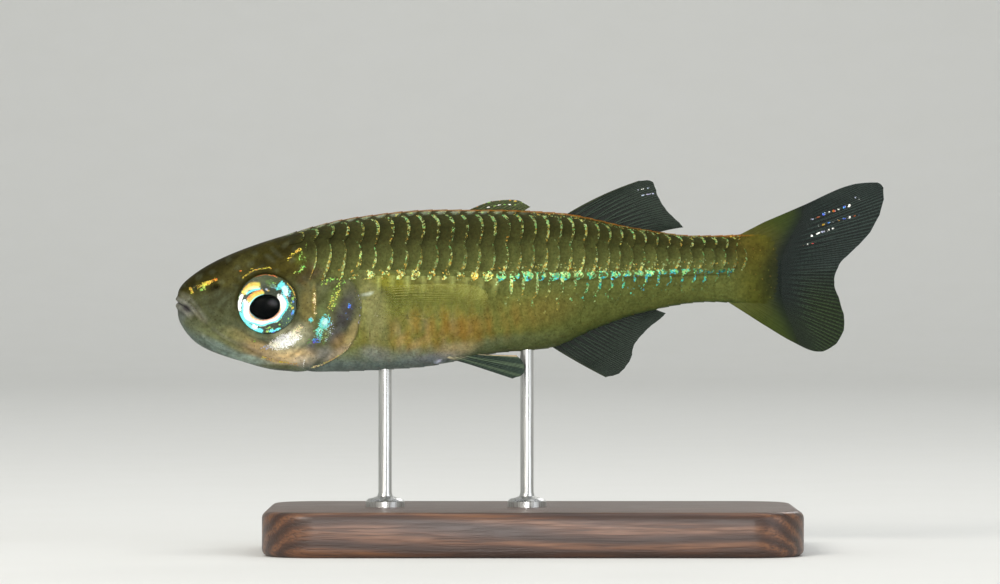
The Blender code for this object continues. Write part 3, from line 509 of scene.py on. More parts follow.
def half_rings(distances, steps):
    """Half sections from the back to the belly: across, height, and girth, which is 1 at the back,
    0 at the stripe and -1 at the belly, measured round the surface."""
    turn = np.linspace(0, math.pi, steps)
    across, height = section(distances[:, None], turn[None, :])
    across[:, -1] = 0.0
    run = np.hypot(np.diff(across, axis=1), np.diff(height, axis=1))
    round_body = np.concatenate((np.zeros((len(distances), 1)), np.cumsum(run, axis=1)), axis=1)
    girth = np.empty_like(round_body)
    for i, level in enumerate(stripe_height(distances)):
        at_stripe = np.interp(-level, -height[i], round_body[i])
        above = (at_stripe - round_body[i]) / max(at_stripe, 1e-6)
        below = (at_stripe - round_body[i]) / max(round_body[i, -1] - at_stripe, 1e-6)
        girth[i] = np.where(round_body[i] < at_stripe, above, below)
    return across, height, girth, round_body


TABLE_STEP = 0.25
TABLE_GIRTHS = np.linspace(-1, 1, 97)


def surface_table():
    """The body's surface over even steps of distance and girth."""
    distances = np.arange(0.0, SKIN_END, TABLE_STEP)
    across, height, girth, round_body = half_rings(distances, 181)
    table = np.empty((len(distances), len(TABLE_GIRTHS), 3))
    for i in range(len(distances)):
        for k, values in enumerate((across[i], height[i], round_body[i])):
            table[i, :, k] = np.interp(TABLE_GIRTHS, girth[i, ::-1], values[::-1])
    return table


SURFACE = surface_table()


def on_body(distance, girth, side):
    """(distance, across, height) points of the body's surface. A girth past 1 or -1 goes over the ridge."""
    over = np.abs(girth) > 1
    folded = np.where(over, np.sign(girth) * (2 - np.abs(girth)), girth)
    row = np.clip(distance / TABLE_STEP, 0, len(SURFACE) - 1.001)
    column = np.clip((folded + 1) / 2 * (len(TABLE_GIRTHS) - 1), 0, len(TABLE_GIRTHS) - 1.001)
    i, j = row.astype(int), column.astype(int)
    s, t = (row - i)[..., None], (column - j)[..., None]
    found = (SURFACE[i, j] * (1 - s) + SURFACE[i + 1, j] * s) * (1 - t)
    found = found + (SURFACE[i, j + 1] * (1 - s) + SURFACE[i + 1, j + 1] * s) * t
    across = found[..., 0] * side * np.where(over, -1, 1)
    return np.stack((distance, across, found[..., 1]), axis=-1)


def out_of_body(distance, girth, side):
    """Directions straight out of the body's surface."""
    along = on_body(distance + 0.2, girth, side) - on_body(distance - 0.2, girth, side)
    up = on_body(distance, girth + 0.03, side) - on_body(distance, girth - 0.03, side)
    out = np.cross(along, up) * -side
    return out / np.maximum(np.linalg.norm(out, axis=-1, keepdims=True), 1e-9)


def on_line(off, half):
    """1 on a line and 0 past its soft edge, from how far places lie beside it and its half width."""
    return 1 - soft(np.abs(off), 0.5 * half, 1.6 * half)


def faded(along, first, last):
    """1 along a line, and fading to 0 over those shares of it at its first and its last end."""
    return soft(along, 0, first) * soft(1 - along, 0, last)


def beside(distance, height, points):
    """How far places of the side view lie to the left of a line, and their share of the way along it."""
    line = curve_through(points, LINE_STEPS)
    nearest = np.full(distance.shape, np.inf)
    offset, share = np.zeros(distance.shape), np.zeros(distance.shape)
    for k, (start, end) in enumerate(zip(line, line[1:])):
        run = end - start
        to_x, to_z = distance - start[0], height - start[1]
        along = np.clip((to_x * run[0] + to_z * run[1]) / (run @ run), 0.0, 1.0)
        gap = np.hypot(to_x - along * run[0], to_z - along * run[1])
        closer = gap < nearest
        left = np.where(run[0] * to_z - run[1] * to_x < 0, -1.0, 1.0)
        nearest = np.where(closer, gap, nearest)
        offset = np.where(closer, gap * left, offset)
        share = np.where(closer, (k + along) / (LINE_STEPS - 1), share)
    return offset, share


def spot(distance, height, centre, halves, degrees=0.0, edge=0.35):
    """1 inside a turned ellipse of the side view, and 0 outside, with a soft edge."""
    turn = math.radians(degrees)
    to_x, to_z = distance - centre[0], height - centre[1]
    along = (to_x * math.cos(turn) + to_z * math.sin(turn)) / halves[0]
    up = (to_z * math.cos(turn) - to_x * math.sin(turn)) / halves[1]
    return 1 - soft(np.hypot(along, up), 1 - edge, 1 + edge)


# Paint


def laid(ground, colour, share):
    """A colour laid over the ground, where share is 1."""
    return ground + (np.asarray(colour) - ground) * np.asarray(share)[..., None]


def one_colour(shape, colour):
    """The same colour at every place of a grid of that shape."""
    return np.ones((*shape, 3)) * np.asarray(colour)


def blended(place, stations):
    """Colours read at each place between (place, colour) stations in rising order."""
    at = [s[0] for s in stations]
    return np.stack([np.interp(place, at, [s[1][k] for s in stations]) for k in range(3)], axis=-1)


def patched(paint, distance, height, patches):
    """Paint with a table of soft patches laid over it."""
    for x, z, half_x, half_z, degrees, code, share in patches:
        patch = spot(distance, height, (x, z), (half_x, half_z), degrees, 0.6)
        paint = laid(paint, hex_colour(code), share * patch)
    return paint


def past_crescent(distance, height):
    """How far places of the side view lie behind the dusky crescent of the tail."""
    line = curve_through(CRESCENT, LINE_STEPS)
    return distance - np.interp(height, line[:, 0], line[:, 1])


def tail_root_paint(colours, paint, distance, height):
    """Yellow flesh at the root of the tail fin, and the dusky crescent behind it."""
    off = past_crescent(distance, height)
    paint = laid(paint, colours.tail_flesh, soft(distance, 61.8, 66.0) * (1 - soft(off, -1.0, 1.2)))
    upper = spot(distance, height, (65.4, 4.4), (2.2, 2.2), 0, 0.9)
    lower = spot(distance, height, (65.0, 0.2), (1.9, 3.4), 10, 0.9)
    paint = laid(paint, colours.tail_gold, 0.32 * upper)
    paint = laid(paint, colours.tail_gold_low, 0.28 * lower)
    dusk = soft(off, -2.8, 1.2) * (1 - soft(off, 1.6, 5.0))
    dusk = dusk * (1 - 0.5 * soft(height, 3.5, 7.0)) * (1 - 0.7 * soft(-height, 0.8, 5.0))
    return laid(paint, colours.tail_shadow, 0.92 * dusk)


def trunk_paint(colours, distance, height, girth):
    """The body behind the head, from the dark back to the grey belly."""
    front = blended(girth, ((-1.0, colours.belly), (-0.82, colours.belly), (-0.62, colours.lower_front),
                            (-0.3, colours.lower_front), (-0.08, colours.flank), (0.08, colours.flank),
                            (0.3, colours.middle), (0.45, colours.upper), (0.8, colours.upper),
                            (1.0, colours.back)))
    rear = blended(girth, ((-1.0, colours.belly_rear), (-0.8, colours.lower_rear), (-0.2, colours.lower_rear),
                           (0.0, colours.flank), (0.15, colours.flank), (0.4, colours.middle),
                           (0.6, colours.upper), (0.85, colours.upper), (1.0, colours.back)))
    paint = front + (rear - front) * soft(distance, 30.0, 46.0)[..., None]
    # Flame-like upright blotches of orange and pink over the belly cavity
    wave = np.sin(distance * 3.9 + 0.9 * height) + 0.6 * np.sin(distance * 2.3 - 0.4 * height + 1.0)
    flames = soft(wave, -0.6, 1.2) * spot(distance, height, (30.0, -4.9), (8.5, 2.6), 8, 0.5)
    paint = laid(paint, colours.blush, 0.5 * flames)
    flames = soft(-wave, -0.2, 1.3) * spot(distance, height, (27.5, -5.6), (6.5, 2.4), 5, 0.5)
    paint = laid(paint, colours.pink, 0.5 * flames)
    # Painted rim highlight: a copper line along the ridge of the back, so that it shows at the outline
    paint = laid(paint, colours.ridge, 0.8 * soft(girth, 0.9, 0.94) * soft(distance, 13.0, 18.0))
    paint = patched(paint, distance, height, TRUNK_PATCHES)
    # Painted shade along the rear edge of the pad that the pectoral fin grows from, in the crown colour
    edge, along = beside(distance, height, PECTORAL_PAD)
    shade = hump(edge - 0.25, 0.35) * soft(along, 0.1, 0.3) * soft(1 - along, 0, 0.3)
    paint = laid(paint, colours.crown, 0.28 * shade)
    return tail_root_paint(colours, paint, distance, height)


def head_paint(colours, distance, height):
    """The head, from the dark crown to the pale throat."""
    top, bottom = back(distance), belly(distance)
    level = (height - bottom) / np.maximum(top - bottom, 0.05)
    paint = blended(level, ((0.0, colours.throat), (0.06, colours.throat), (0.2, colours.jaw),
                            (0.4, colours.cheek), (0.56, colours.cheek), (0.72, colours.brow),
                            (0.9, colours.crown), (1.0, colours.crown)))
    gill = soft(distance, 14.6, 15.6) * (1 - soft(height, -0.2, 1.2)) * soft(level, 0.02, 0.12)
    paint = laid(paint, colours.gill, gill)
    paint = patched(paint, distance, height, HEAD_PATCHES)
    # Faint cloudy blotches, a millimetre or two across
    blotches = np.sin(distance * 2.6 + 1.4 * np.sin(height * 1.9))
    blotches = blotches * np.sin(height * 2.9 + 1.2 * np.sin(distance * 1.7))
    paint = laid(paint, colours.jaw, 0.2 * soft(blotches, 0.1, 0.9))
    paint = laid(paint, colours.crown, 0.28 * soft(-blotches, 0.1, 0.9))
    # Painted shade in the hollow where the skin dips to the eye, strongest over its upper part
    lids = np.hypot(distance - EYE_PLACE[0], height - EYE_PLACE[1]) - EYE_RADIUS
    return laid(paint, colours.crown, 0.8 * hump(lids - 0.1, 0.16) * soft(height, -5.0, -1.0))


def lip_paint(colours, paint, distance, height):
    """Lips, the painted shadow line between them and the painted shade in the mouth's corner, and the folds
    behind them with painted shade in their grooves.
    """
    off, along = beside(distance, height, MOUTH_LINE)
    in_mouth = 1 - soft(along, 0.75, 1.0)
    paint = laid(paint, colours.lips, 0.7 * in_mouth * (1 - soft(np.abs(off), 0.45, 0.8)))
    gap = (1 - soft(along, 0.2, 0.75)) * (1 - soft(np.abs(off), 0.03, 0.12))
    paint = laid(paint, colours.mouth, 0.7 * gap)
    # Painted shade in the hollow at the mouth's corner
    paint = laid(paint, colours.mouth, 0.8 * spot(distance, height, (1.2, -2.6), (0.5, 0.3), -35, 0.6))
    # Painted shade in the groove of each fold, and a paler band of lip colour beside it
    for line in (JAW_FOLD, *CHIN_LINES):
        off, along = beside(distance, height, line)
        ends = faded(along, 0.2, 0.2)
        paint = laid(paint, colours.crown, 0.3 * hump(off, 0.16) * ends)
        paint = laid(paint, colours.lips, 0.25 * hump(off - 0.35, 0.2) * ends)
    return paint


def skin_paint(colours, distance, height, girth):
    """Head and trunk colours, joined along the nape and the gill opening."""
    start = np.interp(height, *zip(*SCALES_START))
    off, _ = beside(distance, height, GILL_EDGE)
    behind_gill = soft(off, -0.05, 0.15)
    behind_nape = soft(distance - start, -1.5, 0.5)
    trunk = np.where(height > 0.6, behind_nape, behind_gill * soft(distance, 14.0, 18.0))
    paint = lip_paint(colours, head_paint(colours, distance, height), distance, height)
    return paint + (trunk_paint(colours, distance, height, girth) - paint) * trunk[..., None]


def marked(gleams, distance, height, marks, lines):
    """Colour and share of the bright crystals, from tables of spots and lines of the side view."""
    colour = one_colour(distance.shape, gleams.gold)
    share = np.zeros(distance.shape)
    drawn = []
    for x, z, half_x, half_z, degrees, name, strength in marks:
        drawn.append((name, strength * spot(distance, height, (x, z), (half_x, half_z), degrees, 0.5)))
    for points, half, name, strength in lines:
        off, along = beside(distance, height, points)
        drawn.append((name, strength * on_line(off, half) * faded(along, 0.12, 0.12)))
    for name, mark in drawn:
        colour = laid(colour, getattr(gleams, name), np.clip(mark / np.maximum(share + mark, 1e-6), 0, 1))
        share = np.maximum(share, mark)
    return np.concatenate((colour, share[..., None]), axis=-1)


def skin_gleam(gleams, distance, height):
    """Bright crystals of the skin: the head's marks and a few loose flecks."""
    gleam = marked(gleams, distance, height, HEAD_MARKS, HEAD_LINES)
    loose = 0.006 * soft(height, -7.0, -3.0) + 0.012 * soft(distance, 60.0, 62.0)
    gleam[..., 3] = np.maximum(gleam[..., 3], loose)
    return gleam


# Mesh helpers


def deselect():
    """Leaves edit mode and clears the selection, which the loaded nodes start in."""
    if bpy.context.object and bpy.context.object.mode != "OBJECT":
        bpy.ops.object.mode_set(mode="OBJECT")
    bpy.ops.object.select_all(action="DESELECT")


def only(obj):
    """Selects one object and makes it active."""
    deselect()
    obj.select_set(True)
    bpy.context.view_layer.objects.active = obj


def set_attribute(mesh, name, kind, values):
    """Writes one value for each of a mesh's points: a number or a colour."""
    made = mesh.attributes.new(name, kind, "POINT")
    values = np.asarray(values, np.float32)
    if kind == "FLOAT_COLOR" and values.shape[-1] == 3:
        values = np.concatenate((values, np.ones((*values.shape[:-1], 1), np.float32)), axis=-1)
    made.data.foreach_set("color" if kind == "FLOAT_COLOR" else "value", values.ravel())


def shaped_grid(name, columns, rows, points, attributes=(), merge=True):
    """A grid primitive whose point (i, j) is moved to points[i, j], in metres. Edges that meet are merged."""
    deselect()
    bpy.ops.mesh.primitive_grid_add(x_subdivisions=columns, y_subdivisions=rows, size=1.0)
    obj = bpy.context.object
    obj.name = obj.data.name = name
    flat = np.empty(len(obj.data.vertices) * 3, np.float32)
    obj.data.vertices.foreach_get("co", flat)
    flat = flat.reshape(-1, 3)
    i = np.rint((flat[:, 0] + 0.5) * columns).astype(int)
    j = np.rint((flat[:, 1] + 0.5) * rows).astype(int)
    obj.data.vertices.foreach_set("co", points[i, j].astype(np.float32).ravel())
    for word, kind, values in attributes:
        set_attribute(obj.data, word, kind, values[i, j])
    if merge:
        bpy.ops.object.mode_set(mode="EDIT")
        bpy.ops.mesh.select_all(action="SELECT")
        bpy.ops.mesh.remove_doubles(threshold=1e-6)
        bpy.ops.mesh.normals_make_consistent(inside=False)
        bpy.ops.object.mode_set(mode="OBJECT")
    obj.data.shade_smooth()
    obj.data.update()
    return obj


def turned(profile, centre, spokes):
    """Points of a (radius, height) profile turned round an upright line through the (x, y) centre."""
    turn = np.linspace(0, 2 * math.pi, spokes + 1)[None, :]
    reach = np.array([p[0] for p in profile])[:, None]
    level = np.array([p[1] for p in profile])[:, None]
    return np.stack((centre[0] + reach * np.cos(turn), centre[1] + reach * np.sin(turn), level + 0 * turn),
                    axis=-1)


def flip(obj):
    """Turns all faces of an open piece the other way."""
    only(obj)
    bpy.ops.object.mode_set(mode="EDIT")
    bpy.ops.mesh.select_all(action="SELECT")
    bpy.ops.mesh.flip_normals()
    bpy.ops.object.mode_set(mode="OBJECT")


def dress(obj, material, slot, *nodes):
    """Gives a finished piece its material and its body, and hides the nodes that it stands for. Its slot is
    not used.
    """
    obj.data.materials.clear()
    obj.data.materials.append(material)
    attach(obj, "root")
    if nodes:
        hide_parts(*nodes)
    return obj


# Materials


def add_node(tree, kind, inputs=None, output=0, stops=None, **settings):
    """Adds a node with its settings, its inputs set or linked, and any colour stops. Returns an output."""
    made = tree.nodes.new(kind)
    for key, value in settings.items():
        setattr(made, key, value)
    for key, value in (inputs or {}).items():
        if isinstance(value, bpy.types.NodeSocket):
            tree.links.new(value, made.inputs[key])
        else:
            made.inputs[key].default_value = value
    for k, (place, code) in enumerate(stops or ()):
        ramp = made.color_ramp.elements
        stop = ramp[k] if k < len(ramp) else ramp.new(place)
        stop.position = place
        stop.color = (*hex_colour(code), 1.0)
    return made.outputs[output]


def new_material(name):
    """An empty material, its node tree, and a Principled shader that is already linked."""
    material = bpy.data.materials.new(name)
    material.use_nodes = True
    tree = material.node_tree
    return material, tree, tree.nodes["Principled BSDF"]


def set_inputs(tree, shader, **values):
    """Sets or links a shader's inputs, named with _ for a space."""
    for key, value in values.items():
        socket = shader.inputs[key.replace("_", " ")]
        if isinstance(value, bpy.types.NodeSocket):
            tree.links.new(value, socket)
        else:
            socket.default_value = value


def crystals(tree, size):
    """Flecks of one size through the object: a random draw, hue and shade for each, as three numbers."""
    place = add_node(tree, "ShaderNodeTexCoord", output="Object")
    cells = add_node(tree, "ShaderNodeTexVoronoi", {"Vector": place, "Scale": 1 / size}, output="Color",
                     feature="F1")
    parts = add_node(tree, "ShaderNodeSeparateColor", {0: cells}, output="Red")
    return parts, parts.node.outputs["Green"], parts.node.outputs["Blue"]


def relit(tree, colour, light):
    """A colour times a number."""
    grey = add_node(tree, "ShaderNodeCombineColor", {0: light, 1: light, 2: light})
    return add_node(tree, "ShaderNodeMix", {0: 1.0, 6: colour, 7: grey}, output=2, data_type="RGBA",
                    blend_type="MULTIPLY")


def mottled(tree, colour, size, depth):
    """A colour varied in lightness by a cloudy pattern of that size, by that share up and down."""
    place = add_node(tree, "ShaderNodeTexCoord", output="Object")
    cloud = add_node(tree, "ShaderNodeTexNoise", {"Vector": place, "Scale": 1 / size, "Detail": 4.0,
                                                  "Roughness": 0.6})
    light = add_node(tree, "ShaderNodeMapRange", {0: cloud, 1: 0.3, 2: 0.7, 3: 1 - depth, 4: 1 + depth})
    return relit(tree, colour, light)


def patchy(tree, share, size):
    """A share that rises and falls in patches of that size, and stays 0 where it's 0."""
    place = add_node(tree, "ShaderNodeTexCoord", output="Object")
    cloud = add_node(tree, "ShaderNodeTexNoise", {"Vector": place, "Scale": 1 / size, "Detail": 1.0})
    factor = add_node(tree, "ShaderNodeMapRange", {0: cloud, 1: 0.38, 2: 0.58, 3: 0.12, 4: 1.2})
    return add_node(tree, "ShaderNodeMath", {0: share, 1: factor}, operation="MULTIPLY")


def peppered(tree, colour, share):
    """Tiny dark pigment cells, under a tenth of a millimetre, scattered over a colour."""
    place = add_node(tree, "ShaderNodeTexCoord", output="Object")
    cells = add_node(tree, "ShaderNodeTexVoronoi", {"Vector": place, "Scale": 1 / 0.0003}, feature="F1")
    draw = add_node(tree, "ShaderNodeSeparateColor", {0: cells.node.outputs["Color"]}, output="Red")
    near = add_node(tree, "ShaderNodeMapRange", {0: cells, 1: 0.15, 2: 0.3, 3: 0.5, 4: 0.0})
    few = add_node(tree, "ShaderNodeMath", {0: draw, 1: share}, operation="LESS_THAN")
    dark = add_node(tree, "ShaderNodeMath", {0: near, 1: few}, operation="MULTIPLY")
    return add_node(tree, "ShaderNodeMix", {0: dark, 6: colour, 7: (*hex_colour("#141006"), 1.0)}, output=2,
                    data_type="RGBA")


def flecked(tree, share, size, ground, bright_colour, low=0.6, high=1.15):
    """Bright flecks over a ground: as many as the share says, each of its own hue and light. Returns the
    colour and how lit it is."""
    draw, hue, shade = crystals(tree, size)
    reach = add_node(tree, "ShaderNodeMath", {0: share, 1: draw}, operation="SUBTRACT")
    lit = add_node(tree, "ShaderNodeMapRange", {0: reach, 1: 0.0, 2: 0.12})
    turn = add_node(tree, "ShaderNodeMapRange", {0: hue, 3: 0.44, 4: 0.56})
    light = add_node(tree, "ShaderNodeMapRange", {0: shade, 3: low, 4: high})
    fleck = add_node(tree, "ShaderNodeHueSaturation", {"Hue": turn, "Value": light, "Color": bright_colour})
    colour = add_node(tree, "ShaderNodeMix", {0: lit, 6: ground, 7: fleck}, output=2, data_type="RGBA")
    return colour, lit


def skin_material(sizes):
    """Thin scaleless fish skin, moist: soft pigment under a thin clear film, with bright crystal flecks."""
    material, tree, shader = new_material("moist fish skin")
    paint = add_node(tree, "ShaderNodeAttribute", output="Color", attribute_name="paint")
    gleam = add_node(tree, "ShaderNodeAttribute", output="Color", attribute_name="gleam")
    ground = peppered(tree, mottled(tree, mottled(tree, paint, 0.0016, 0.3), 0.00035, 0.24), 0.3)
    colour, lit = flecked(tree, gleam.node.outputs["Alpha"], sizes.crystal * 0.8, ground, gleam)
    place = add_node(tree, "ShaderNodeTexCoord", output="Object")
    pores = add_node(tree, "ShaderNodeTexNoise", {"Vector": place, "Scale": 1 / 0.0004, "Detail": 3.0})
    bump = add_node(tree, "ShaderNodeBump", {"Height": pores, "Strength": 0.3, "Distance": 0.00006},
                    output="Normal")
    metal = add_node(tree, "ShaderNodeMath", {0: lit, 1: 0.2}, operation="MULTIPLY")
    rough = add_node(tree, "ShaderNodeMapRange", {0: lit, 3: 0.5, 4: 0.32})
    set_inputs(tree, shader, Base_Color=colour, Metallic=metal, Roughness=rough, Normal=bump,
               Specular_IOR_Level=0.08, Specular_Tint=FILM_TINT,
               Subsurface_Weight=0.15, Subsurface_Scale=0.0005)
    shader.inputs["Subsurface Radius"].default_value = (1.0, 0.75, 0.4)
    return material


def scale_material(sizes):
    """Clear bony scales over pigment: each rear edge is lined with guanine crystals, gold-green on the upper
    flank and turquoise in the stripe. In the lining attribute red is the share of crystals on the edge, green
    that of loose flecks, blue the hue from copper to blue, and alpha their light."""
    material, tree, shader = new_material("guanine-edged scales")
    paint = add_node(tree, "ShaderNodeAttribute", output="Color", attribute_name="paint")
    lining = add_node(tree, "ShaderNodeAttribute", output="Color", attribute_name="lining")
    start = add_node(tree, "ShaderNodeAttribute", output="Fac", attribute_name="start")
    parts = add_node(tree, "ShaderNodeSeparateColor", {0: lining}, output="Red")
    loose, warmth = parts.node.outputs["Green"], parts.node.outputs["Blue"]
    plate = add_node(tree, "ShaderNodeUVMap", uv_map="plate")
    along = add_node(tree, "ShaderNodeSeparateXYZ", {0: plate}, output="X")
    start_end = add_node(tree, "ShaderNodeMath", {0: start, 1: 0.04}, operation="ADD")
    near_edge = add_node(tree, "ShaderNodeMapRange", {0: along, 1: start, 2: start_end})
    share = add_node(tree, "ShaderNodeMath", {0: patchy(tree, parts, 0.0005), 1: near_edge},
                     operation="MULTIPLY")
    share = add_node(tree, "ShaderNodeMath", {0: share, 1: loose}, operation="MAXIMUM")
    draw, hue, shade = crystals(tree, sizes.crystal)
    reach = add_node(tree, "ShaderNodeMath", {0: share, 1: draw}, operation="SUBTRACT")
    lit = add_node(tree, "ShaderNodeMapRange", {0: reach, 1: 0.0, 2: 0.12})
    spread = add_node(tree, "ShaderNodeMapRange", {0: hue, 3: -0.22, 4: 0.22})
    spread = add_node(tree, "ShaderNodeMath", {0: warmth, 1: spread}, operation="ADD")
    gleam = add_node(tree, "ShaderNodeValToRGB", {0: spread}, stops=(
        (0.0, "#B8642A"), (0.12, "#C89A3C"), (0.27, "#B8B458"), (0.42, "#C0D896"), (0.56, "#88C46C"),
        (0.7, "#54C890"), (0.84, "#4CC0D0"), (1.0, "#345CC8")))
    bright = add_node(tree, "ShaderNodeMapRange", {0: shade, 3: 0.35, 4: 1.3})
    bright = add_node(tree, "ShaderNodeMath", {0: bright, 1: lining.node.outputs["Alpha"]},
                      operation="MULTIPLY")
    gleam = relit(tree, gleam, bright)
    ground = peppered(tree, mottled(tree, mottled(tree, paint, 0.0012, 0.22), 0.0003, 0.22), 0.15)
    colour = add_node(tree, "ShaderNodeMix", {0: lit, 6: ground, 7: gleam}, output=2, data_type="RGBA")
    metal = add_node(tree, "ShaderNodeMapRange", {0: lit, 3: 0.0, 4: 0.25})
    rough = add_node(tree, "ShaderNodeMapRange", {0: lit, 3: 0.48, 4: 0.32})
    # Growth rings of the scale, fifteen along each
    rings = add_node(tree, "ShaderNodeMath", {0: along, 1: 30.0 * math.pi}, operation="MULTIPLY")
    rings = add_node(tree, "ShaderNodeMath", {0: rings}, operation="SINE")
    bump = add_node(tree, "ShaderNodeBump", {"Height": rings, "Strength": 0.15, "Distance": 0.00001},
                    output="Normal")
    set_inputs(tree, shader, Base_Color=colour, Metallic=metal, Roughness=rough, Normal=bump,
               Specular_IOR_Level=0.08, Specular_Tint=FILM_TINT,
               Subsurface_Weight=0.1, Subsurface_Scale=0.0004)
    return material


def fin_material(sizes, name, web_cover, ray_cover, web_light, ray_light):
    """Fin membrane stretched over jointed bony rays. The covers say how far the web and the rays hide what
    lies behind them, and the lights how much lighter or darker than the paint they are."""
    material, tree, shader = new_material(name)
    paint = add_node(tree, "ShaderNodeAttribute", output="Color", attribute_name="paint")
    gleam = add_node(tree, "ShaderNodeAttribute", output="Color", attribute_name="gleam")
    ray = add_node(tree, "ShaderNodeAttribute", output="Fac", attribute_name="ray")
    flesh = add_node(tree, "ShaderNodeAttribute", output="Fac", attribute_name="flesh")
    run = add_node(tree, "ShaderNodeAttribute", output="Fac", attribute_name="run")
    # Joints of the rays, one every 0.45 mm
    joints = add_node(tree, "ShaderNodeMath", {0: run, 1: 2 * math.pi / 0.45}, operation="MULTIPLY")
    joints = add_node(tree, "ShaderNodeMath", {0: joints}, operation="SINE")
    joints = add_node(tree, "ShaderNodeMapRange", {0: joints, 1: 0.4, 2: 1.0, 3: 1.0, 4: 0.8})
    light = add_node(tree, "ShaderNodeMapRange", {0: ray, 3: web_light, 4: ray_light})
    light = add_node(tree, "ShaderNodeMath", {0: light, 1: joints}, operation="MULTIPLY")
    light = add_node(tree, "ShaderNodeMix", {0: flesh, 2: light, 3: 1.0})
    ground = relit(tree, mottled(tree, paint, 0.0006, 0.15), light)
    colour, lit = flecked(tree, gleam.node.outputs["Alpha"], sizes.crystal, ground, gleam)
    cover = add_node(tree, "ShaderNodeMapRange", {0: ray, 3: web_cover, 4: ray_cover})
    cover = add_node(tree, "ShaderNodeMath", {0: cover, 1: flesh}, operation="MAXIMUM")
    cover = add_node(tree, "ShaderNodeMath", {0: cover, 1: lit}, operation="MAXIMUM")
    set_inputs(tree, shader, Base_Color=colour, Alpha=cover, Roughness=0.5, Specular_IOR_Level=0.1)
    return material


def iris_material(sizes):
    """Iris foil: layered guanine crystals, white, gold and cyan, over dark pigment."""
    material, tree, shader = new_material("guanine iris")
    paint = add_node(tree, "ShaderNodeAttribute", output="Color", attribute_name="paint")
    gleam = add_node(tree, "ShaderNodeAttribute", output="Color", attribute_name="gleam")
    ground = mottled(tree, paint, 0.0003, 0.3)
    colour, lit = flecked(tree, gleam.node.outputs["Alpha"], sizes.crystal * 0.7, ground, gleam, 0.75, 1.15)
    metal = add_node(tree, "ShaderNodeMath", {0: lit, 1: 0.2}, operation="MULTIPLY")
    set_inputs(tree, shader, Base_Color=colour, Metallic=metal, Roughness=0.35, Specular_IOR_Level=0.3)
    return material


def lens_material():
    """Black glass lens that looks into the dark of the eye."""
    material, tree, shader = new_material("black lens glass")
    set_inputs(tree, shader, Base_Color=(0.001, 0.0016, 0.0016, 1.0), Roughness=0.3,
               Specular_IOR_Level=0.02)
    return material


def cornea_material():
    """Clear wet cornea: a thin dome that mirrors only a trace of the light."""
    material, tree, shader = new_material("clear cornea")
    set_inputs(tree, shader, Base_Color=(1.0, 1.0, 1.0, 1.0), Metallic=1.0, Roughness=0.02, Alpha=0.002)
    return material


def walnut_material():
    """Oiled walnut: long straight grain with dark pores, a satin sheen."""
    material, tree, shader = new_material("oiled walnut")
    place = add_node(tree, "ShaderNodeTexCoord", output="Object")
    # The grain runs along X. Its bands are about 2 mm apart across the base
    stretched = add_node(tree, "ShaderNodeMapping", {0: place, "Scale": (0.12, 1.0, 1.0)}, output="Vector")
    wander = add_node(tree, "ShaderNodeTexNoise", {"Vector": stretched, "Scale": 90.0, "Detail": 4.0})
    shift = add_node(tree, "ShaderNodeMath", {0: wander, 1: 0.012}, operation="MULTIPLY")
    parts = add_node(tree, "ShaderNodeSeparateXYZ", {0: stretched}, output="Y")
    across = add_node(tree, "ShaderNodeMath", {0: parts, 1: shift}, operation="ADD")
    depth = add_node(tree, "ShaderNodeMath", {0: parts.node.outputs["Z"], 1: 0.7}, operation="MULTIPLY")
    across = add_node(tree, "ShaderNodeMath", {0: across, 1: depth}, operation="ADD")
    bands = add_node(tree, "ShaderNodeMath", {0: across, 1: 2 * math.pi / 0.0021}, operation="MULTIPLY")
    bands = add_node(tree, "ShaderNodeMath", {0: bands}, operation="SINE")
    fibre_place = add_node(tree, "ShaderNodeMapping", {0: place, "Scale": (0.05, 1.0, 1.0)}, output="Vector")
    fibres = add_node(tree, "ShaderNodeTexNoise", {"Vector": fibre_place, "Scale": 4500.0, "Detail": 2.0})
    mix = add_node(tree, "ShaderNodeMapRange", {0: bands, 1: -1.0, 2: 1.0, 3: 0.1, 4: 0.65})
    mix = add_node(tree, "ShaderNodeMath", {0: mix, 1: fibres}, operation="MULTIPLY")
    mix = add_node(tree, "ShaderNodeMath", {0: mix, 1: 1.7}, operation="MULTIPLY")
    colour = add_node(tree, "ShaderNodeValToRGB", {0: mix}, stops=(
        (0.0, "#2A170D"), (0.35, "#4A2C1A"), (0.65, "#6A4429"), (1.0, "#83593A")))
    pores = add_node(tree, "ShaderNodeMapRange", {0: fibres, 1: 0.35, 2: 0.5, 3: -1.0, 4: 0.0})
    bump = add_node(tree, "ShaderNodeBump", {"Height": pores, "Strength": 0.5, "Distance": 0.00005},
                    output="Normal")
    rough = add_node(tree, "ShaderNodeMapRange", {0: fibres, 3: 0.5, 4: 0.34})
    set_inputs(tree, shader, Base_Color=colour, Roughness=rough, Normal=bump, Coat_Weight=0.25,
               Coat_Roughness=0.3)
    return material


def steel_material():
    """Stainless steel rod, drawn and brushed along its length."""
    material, tree, shader = new_material("brushed stainless steel")
    place = add_node(tree, "ShaderNodeTexCoord", output="Object")
    stretched = add_node(tree, "ShaderNodeMapping", {0: place, "Scale": (1.0, 1.0, 0.03)}, output="Vector")
    lines = add_node(tree, "ShaderNodeTexNoise", {"Vector": stretched, "Scale": 1 / 0.00015, "Detail": 2.0})
    rough = add_node(tree, "ShaderNodeMapRange", {0: lines, 1: 0.3, 2: 0.7, 3: 0.22, 4: 0.38})
    bump = add_node(tree, "ShaderNodeBump", {"Height": lines, "Strength": 0.3, "Distance": 0.00001},
                    output="Normal")
    colour = add_node(tree, "ShaderNodeMix", {0: lines, 6: (*hex_colour("#B4B5B4"), 1.0),
                                              7: (*hex_colour("#CFCFCC"), 1.0)}, output=2, data_type="RGBA")
    set_inputs(tree, shader, Base_Color=colour, Metallic=1.0, Roughness=rough, Normal=bump)
    return material


